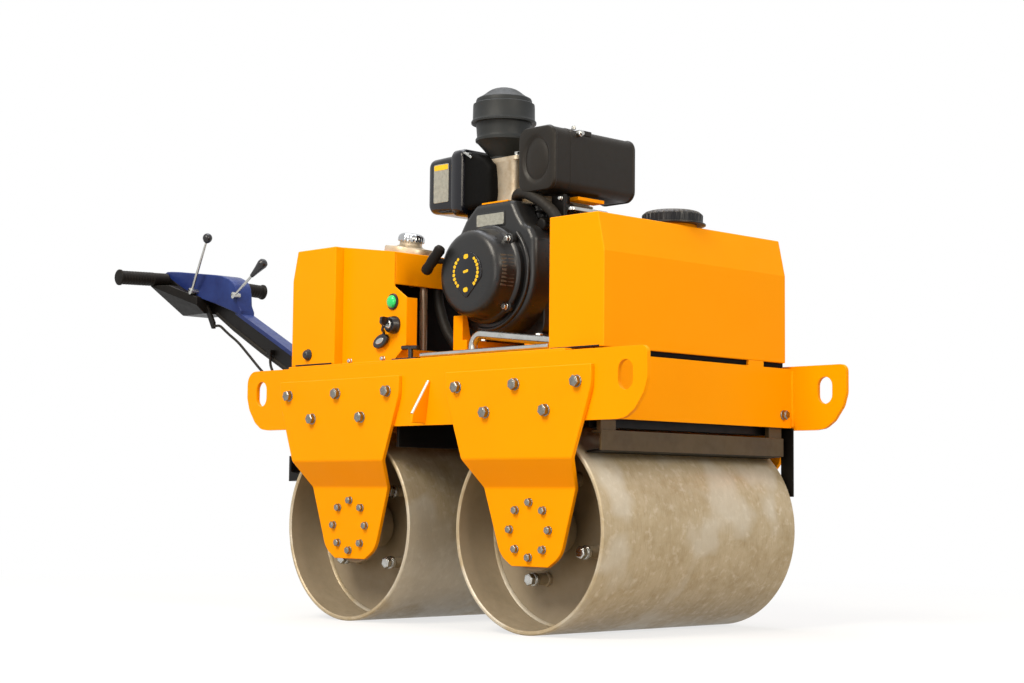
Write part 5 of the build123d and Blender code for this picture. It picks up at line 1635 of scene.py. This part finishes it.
@dataclass
class WaterTank:
    """The front tank's ribbed cap and its rim, a black block that paints the shadow under the tank's front,
    and black strips that paint the shadow lines under tank and cover.
    """

    ribs: int = 36
    rib_height: float = 1.6
    radius: float = 63.0
    height: float = 29.0
    # Radius and rise above the deck of the black strips that paint the shadow lines.
    shadow_line_radius: float = 1.8
    shadow_line_rise: float = 8.0

    def build(self) -> None:
        """Mould the cap, lay the strips that paint the shadow lines, and the block that paints the shadow
        under the tank.
        """
        self._cap()
        tank, cover = Block.of("water_tank"), Block.of("rear_cover")
        deck = Block.of("side_plate_right").high.z
        # Thin black tubes along the foot of tank and cover paint the shadow lines there.
        shadow_lines = Piece("painted_shadow_lines", HOSE_RUBBER)
        runs = (cover, cover.low.x + 18, cover.high.x - 8), (tank, tank.low.x + 6, tank.high.x - 12)
        for block, start, end in runs:
            for y in (block.low.y - 1.0, block.high.y + 1.0):
                ends = [Vector((x, y, deck + self.shadow_line_rise)) for x in (start, end)]
                shadow_lines.tube(ends, self.shadow_line_radius, 8)
        shadow_lines.complete()
        # A near-black block in the gap under the tank's front paints the shadow there.
        pad = Piece("tank_gap_painted_shade", SHADE_BLACK)
        pad.slab((tank.high.x - 26, tank.low.y + 4, deck - 4),
                 (tank.high.x - 7, tank.high.y - 1, tank.low.z + 1))
        pad.complete()

    def _cap(self) -> None:
        """Mould the ribbed cap and turn the seat that it screws on to."""
        box = Block.of("water_tank_cap")
        base = Vector((box.middle.x, box.middle.y, box.low.z))
        radius, height = self.radius, self.height
        profile = [(60, 0, 0), (radius, 0.5, 1), (radius + 0.5, 20, 1), (radius - 1, height - 7, 1),
                   (radius - 6, height - 2, 0.4), (radius - 12, height, 0), (20, height + 0.6, 0)]
        cap = Piece("water_tank_ribbed_cap", CAP_PLASTIC)
        cap.ribbed(profile, base, UP, self.ribs, 3, self.rib_height).complete("water_tank_cap")
        seat = Piece("water_tank_cap_seat", CAP_PLASTIC)
        seat.turning([(71, -1), (71, 1.6), (69.5, 2.6), (58, 2.6)], base, UP, 72).complete()


@dataclass
class Handle:
    """The handle's grips, console, arm cap, hose and levers.

    Pairs of places are given from the crossbar's middle, along X and up. The console's stations are place,
    half width, lower edge and upper edge. The hose's stops are place along the arm and height above its
    axis, and the cap's section is place along Y and that height.
    """

    grip_run: float = 156.0
    grip_rise: float = 0.04
    grip_drop: float = 2.0
    grip_end: tuple[Pair, ...] = ((8, 0), (19, 0.5), (21.5, 2.5), (21.5, 6.5), (19.5, 8.5), (18, 10))
    grip_radius: float = 18.0
    grip_ring: float = 18.8
    grip_rings: int = 11
    grip_pitch: float = 9.0
    console: tuple[tuple[float, float, float, float], ...] = (
        (-18, 86, 11, 19), (-14, 86, 10, 24), (-4, 86, 9, 27.5), (12, 84, 6, 27), (46, 78, -15, 24),
        (86, 70, -39, 19), (120, 55, -54, 15), (156, 40, -67, 11), (180, 35, -76, 7), (208, 31, -86, -3),
        (224, 28, -92, -12), (235, 26, -97, -25), (242, 24, -100, -46), (246, 23, -104, -74),
        (258, 22, -109, -92))
    shell_side: tuple[Pair, ...] = ((-16, 14), (10, 9), (48, -14), (92, -38), (46, -17), (-16, -17))
    shell_half: float = 82.0
    pivot: Pair = (766.0, -384.0)
    cap_ends: Pair = (46.0, 606.0)
    cap_section: tuple[Pair, ...] = ((-21, 24), (21, 24), (21, 13), (18.6, 13), (18.6, 21.2), (-18.6, 21.2),
                                     (-18.6, 13), (-21, 13))
    hose_stops: tuple[Pair, ...] = ((60, -28), (140, -29), (300, -28), (460, -29), (600, -26), (690, -20))
    hose_radius: float = 7.5
    hose_side: float = 12.0
    travel_foot: Pair = (106.0, -34.0)
    travel_tip: Pair = (175.0, 106.0)
    travel_side: float = -78.0
    throttle_foot: Pair = (242.0, -51.0)
    throttle_tip: Pair = (320.0, -3.0)
    throttle_side: float = -33.0
    ball: float = 13.0
    x: float = field(init=False)
    z: float = field(init=False)

    def build(self) -> None:
        """Make the grips, the console, the arm's cap and hose, and both levers."""
        bar = Block.of("handle_grips")
        self.x, self.z = bar.middle.x, bar.middle.z
        self._grips()
        self._console()
        self._arm()
        self._levers()

    def _place(self, spot: Pair, y: float) -> Vector:
        """A place given from the crossbar's middle."""
        return Vector((self.x + spot[0], y, self.z + spot[1]))

    def _grips(self) -> None:
        """Mould both grips, ringed along their length, from their bulged ends inwards."""
        reach = Block.of("handle_grips").high.y
        low, high, run = self.grip_radius, self.grip_ring, self.grip_run
        profile = list(self.grip_end)
        for k in range(self.grip_rings):
            start = 14 + k * self.grip_pitch
            profile += [(low, start), (high, start + 1.5), (high, start + 5), (low, start + 6.5)]
        profile += [(low, run - 2), (low - 1.5, run), (low - 3.5, run)]
        grips = Piece("ribbed_grips", GRIP_RUBBER, body=Body.HANDLE)
        for side in (-1, 1):
            end = self._place((0.0, -self.grip_drop), side * reach)
            grips.turning(profile, end, Vector((0, -side, self.grip_rise)), 40)
        grips.complete("handle_grips")

    def _console(self) -> None:
        """Fold the console's cover, which falls from the crossbar to the arm, and fill in below it."""
        cover = Piece("console_cover_sheet", BLUE_ENAMEL, body=Body.HANDLE)
        cover.lofted(Axis.X, [(self.x + x, rounded((-half, self.z + low), (half, self.z + high), 3.5))
                              for x, half, low, high in self.console])
        cover.complete("console_cover")
        shell = Piece("console_rear_shell", BLACK_ENAMEL, 1.5, body=Body.HANDLE)
        side = [(self.x + x, self.z + z) for x, z in self.shell_side]
        shell.prism(side, Axis.Y, -self.shell_half, self.shell_half).complete()

    def _arm(self) -> None:
        """Lay the painted cap on the arm's top, and the hose that runs along the arm's underside."""
        foot = self._place(self.pivot, 0.0)
        along = Vector((-self.pivot[0], 0, -self.pivot[1])).normalized()
        above = Vector((along.z, 0, -along.x))
        cap = Piece("arm_cap_sheet", BLUE_ENAMEL, 1.0, body=Body.HANDLE)
        cap.skin([[foot + along * run + above * rise + LEFT * y for y, rise in self.cap_section]
                  for run in self.cap_ends])
        cap.complete("arm_cap")
        hose = Piece("arm_hose", HOSE_RUBBER, body=Body.HANDLE)
        stops = [foot + along * run + above * rise + RIGHT * self.hose_side for run, rise in self.hose_stops]
        hose.tube(bent(stops, 90.0, 5), self.hose_radius, 16)
        hose.complete()

    def _levers(self) -> None:
        """Raise the travel lever with its ball and the throttle lever with its long knob."""
        rods = Piece("lever_rods", ZINC_PLATE, body=Body.HANDLE)
        knobs = Piece("lever_knobs", SWITCH_PLASTIC, body=Body.HANDLE)
        nut = [(7, -2), (9, -1), (9, 6), (6, 8), (0, 8)]
        low = self._place(self.travel_foot, self.travel_side)
        high = self._place(self.travel_tip, self.travel_side)
        rods.tube([low, low.lerp(high, 0.5), high], [4.2, 3.6, 3.0], 16)
        rods.turning([(7, -40), *nut], low, RIGHT, 24)
        ball = circle(self.ball, 13, -48.0, 138.0)
        knobs.turning([(4, -14), (7, -12), (9, -10), *ball], high, high - low, 32)
        low = self._place(self.throttle_foot, self.throttle_side)
        high = self._place(self.throttle_tip, self.throttle_side)
        rods.tube([low, high], 3.6, 16)
        rods.turning([(7, -16), *nut], low, RIGHT, 24)
        knob = [(5.5, -2), (6, 2), (9, 24), (12, 42), (13.5, 51), (12.5, 58), (8, 62.5), (0, 64)]
        knobs.turning(knob, high, high - low, 28)
        rods.complete("control_levers")
        knobs.complete()


@dataclass(frozen=True)
class Lamp:
    """A square soft lamp: where it hangs, what it points at, its side, its power in watts and its colour."""

    name: str
    place: Triple
    aim: Triple
    size: float
    power: float
    colour: str

    def hang(self) -> None:
        """Add the lamp to the scene."""
        data = bpy.data.lights.new(self.name, "AREA")
        data.shape, data.size, data.energy = "SQUARE", self.size, self.power
        data.color = linear(self.colour)[:3]
        lamp = bpy.data.objects.new(self.name, data)
        lamp.location = self.place
        lamp.rotation_mode = "QUATERNION"
        lamp.rotation_quaternion = (Vector(self.aim) - Vector(self.place)).to_track_quat("-Z", "Y")
        bpy.context.scene.collection.objects.link(lamp)


@dataclass
class Studio:
    """Camera, floor, backdrop and soft lamps, in metres and degrees."""

    place: Triple = (3.3678, -2.9925, 0.2732)
    heading: float = 45.716
    pitch: float = 4.847
    roll: float = 0.577
    lens: float = 65.69
    sensor: float = 36.0
    far: float = 200.0
    floor_half: float = 60.0
    fade_start: float = 1.2
    fade_end: float = 2.6
    sky: float = 0.5
    lamps: tuple[Lamp, ...] = (
        Lamp("key", (0.9, -4.4, 4.6), (0.1, 0.0, 0.4), 2.2, 285.0, "fff6e6"),
        Lamp("front", (5.6, -0.6, 2.6), (0.4, 0.0, 0.4), 2.4, 130.0, "fff3e0"),
        Lamp("fill", (2.2, -4.4, 1.0), (0.2, -0.3, 0.3), 1.8, 36.0, "fff6ea"),
        Lamp("top", (-0.6, 0.6, 5.0), (0.0, 0.0, 0.6), 3.0, 120.0, "f4f7ff"))

    def build(self) -> None:
        """Set the camera, the floor, the world and the lamps."""
        self._camera()
        self._floor()
        self._world()
        for lamp in self.lamps:
            lamp.hang()
        bpy.context.scene.view_settings.view_transform = "Standard"

    def _camera(self) -> None:
        """Aim the camera by heading, pitch and roll."""
        heading, pitch, roll = [math.radians(v) for v in (self.heading, self.pitch, self.roll)]
        level = Vector((math.cos(heading), math.sin(heading), 0))
        ahead = Vector((-math.sin(heading) * math.cos(pitch), math.cos(heading) * math.cos(pitch),
                        math.sin(pitch)))
        upright = level.cross(ahead)
        across = level * math.cos(roll) + upright * math.sin(roll)
        rise = upright * math.cos(roll) - level * math.sin(roll)
        turn = Matrix((across, rise, -ahead)).transposed().to_4x4()
        data = bpy.data.cameras.new("camera")
        data.lens, data.sensor_width, data.clip_end = self.lens, self.sensor, self.far
        camera = bpy.data.objects.new("camera", data)
        camera.matrix_world = Matrix.Translation(self.place) @ turn
        bpy.context.scene.collection.objects.link(camera)
        bpy.context.scene.camera = camera

    def _floor(self) -> None:
        """Lay a pale floor that keeps the shadow and fades into the white backdrop.

        What isn't seen directly is a dull warm floor, which tints the light that it sends up.
        """
        mesh = bmesh.new()
        bmesh.ops.create_grid(mesh, x_segments=1, y_segments=1, size=self.floor_half)
        data = bpy.data.meshes.new("floor")
        mesh.to_mesh(data)
        mesh.free()
        floor = bpy.data.objects.new("floor", data)
        bpy.context.scene.collection.objects.link(floor)
        material = bpy.data.materials.new("studio_floor")
        material.use_nodes = True
        tree = material.node_tree
        tree.nodes.clear()
        matt = add_node(tree, "ShaderNodeBsdfDiffuse", {"Color": linear("f2f0ec")})
        dull = add_node(tree, "ShaderNodeBsdfDiffuse", {"Color": linear("a8946e")})
        glow = add_node(tree, "ShaderNodeEmission", {"Color": linear("ffffff"), "Strength": 1.0})
        place = add_node(tree, "ShaderNodeTexCoord").outputs["Object"]
        reach = add_node(tree, "ShaderNodeVectorMath", {"operation": "LENGTH"}, {0: place})
        fade = add_node(tree, "ShaderNodeMapRange", {
            "From Min": self.fade_start, "From Max": self.fade_end, "To Min": 0.72, "To Max": 1.0},
            {"Value": reach.outputs["Value"]})
        pale = add_node(tree, "ShaderNodeMixShader", links={
            0: fade.outputs[0], 1: matt.outputs[0], 2: glow.outputs[0]})
        mixed = add_node(tree, "ShaderNodeMixShader", links={
            0: self._seen(tree), 1: dull.outputs[0], 2: pale.outputs[0]})
        add_node(tree, "ShaderNodeOutputMaterial", links={"Surface": mixed.outputs[0]})
        data.materials.append(material)

    def _seen(self, tree: Tree) -> Socket:
        """Tell what is seen directly from what only lights the scene.

        Args:
            tree: the node tree.

        Returns:
            1 where the camera, a reflection or a clear material sees the surface.
        """
        rays = add_node(tree, "ShaderNodeLightPath").outputs
        sums = add_node(tree, "ShaderNodeMath", {"operation": "ADD"},
                        {0: rays["Is Camera Ray"], 1: rays["Is Glossy Ray"]})
        return add_node(tree, "ShaderNodeMath", {"operation": "ADD", "use_clamp": True},
                        {0: sums.outputs[0], 1: rays["Is Transmission Ray"]}).outputs[0]

    def _world(self) -> None:
        """Make the backdrop white to the eye and a soft grey sky to everything else."""
        world = bpy.data.worlds.new("studio")
        world.use_nodes = True
        tree = world.node_tree
        tree.nodes.clear()
        sky = add_node(tree, "ShaderNodeBackground", {"Color": linear("f3f4f6"), "Strength": self.sky})
        white = add_node(tree, "ShaderNodeBackground", {"Color": linear("ffffff"), "Strength": 1.0})
        mixed = add_node(tree, "ShaderNodeMixShader", links={
            0: self._seen(tree), 1: sky.outputs[0], 2: white.outputs[0]})
        add_node(tree, "ShaderNodeOutputWorld", links={"Surface": mixed.outputs[0]})
        bpy.context.scene.world = world


def main() -> None:
    """Build the studio and the roller."""
    logging.basicConfig(level=logging.INFO, format="%(message)s")
    Studio().build()
    Drum(Body.FRONT_DRUM).build()
    Drum(Body.REAR_DRUM, bolt_turn=-47.0).build()
    Chassis().build()
    Engine().build()
    Housing().build()
    WaterTank().build()
    Handle().build()
    dress(YELLOW_ENAMEL, "water_tank", "rear_cover", "hood", "hood_side_right", "hood_side_left", bevel=2.0)
    dress(BLACK_ENAMEL, "oil_tank", "hose_fittings")
    dress(ZINC_PLATE, "water_pipes")
    dress(OILED_STEEL, "riser_pipe")
    dress(HOSE_RUBBER, "suction_hose", "control_cables")
    dress(BLACK_ENAMEL, "handle_frame", "console_box", "cable_clips", bevel=1.5)


if __name__ == "__main__":
    main()
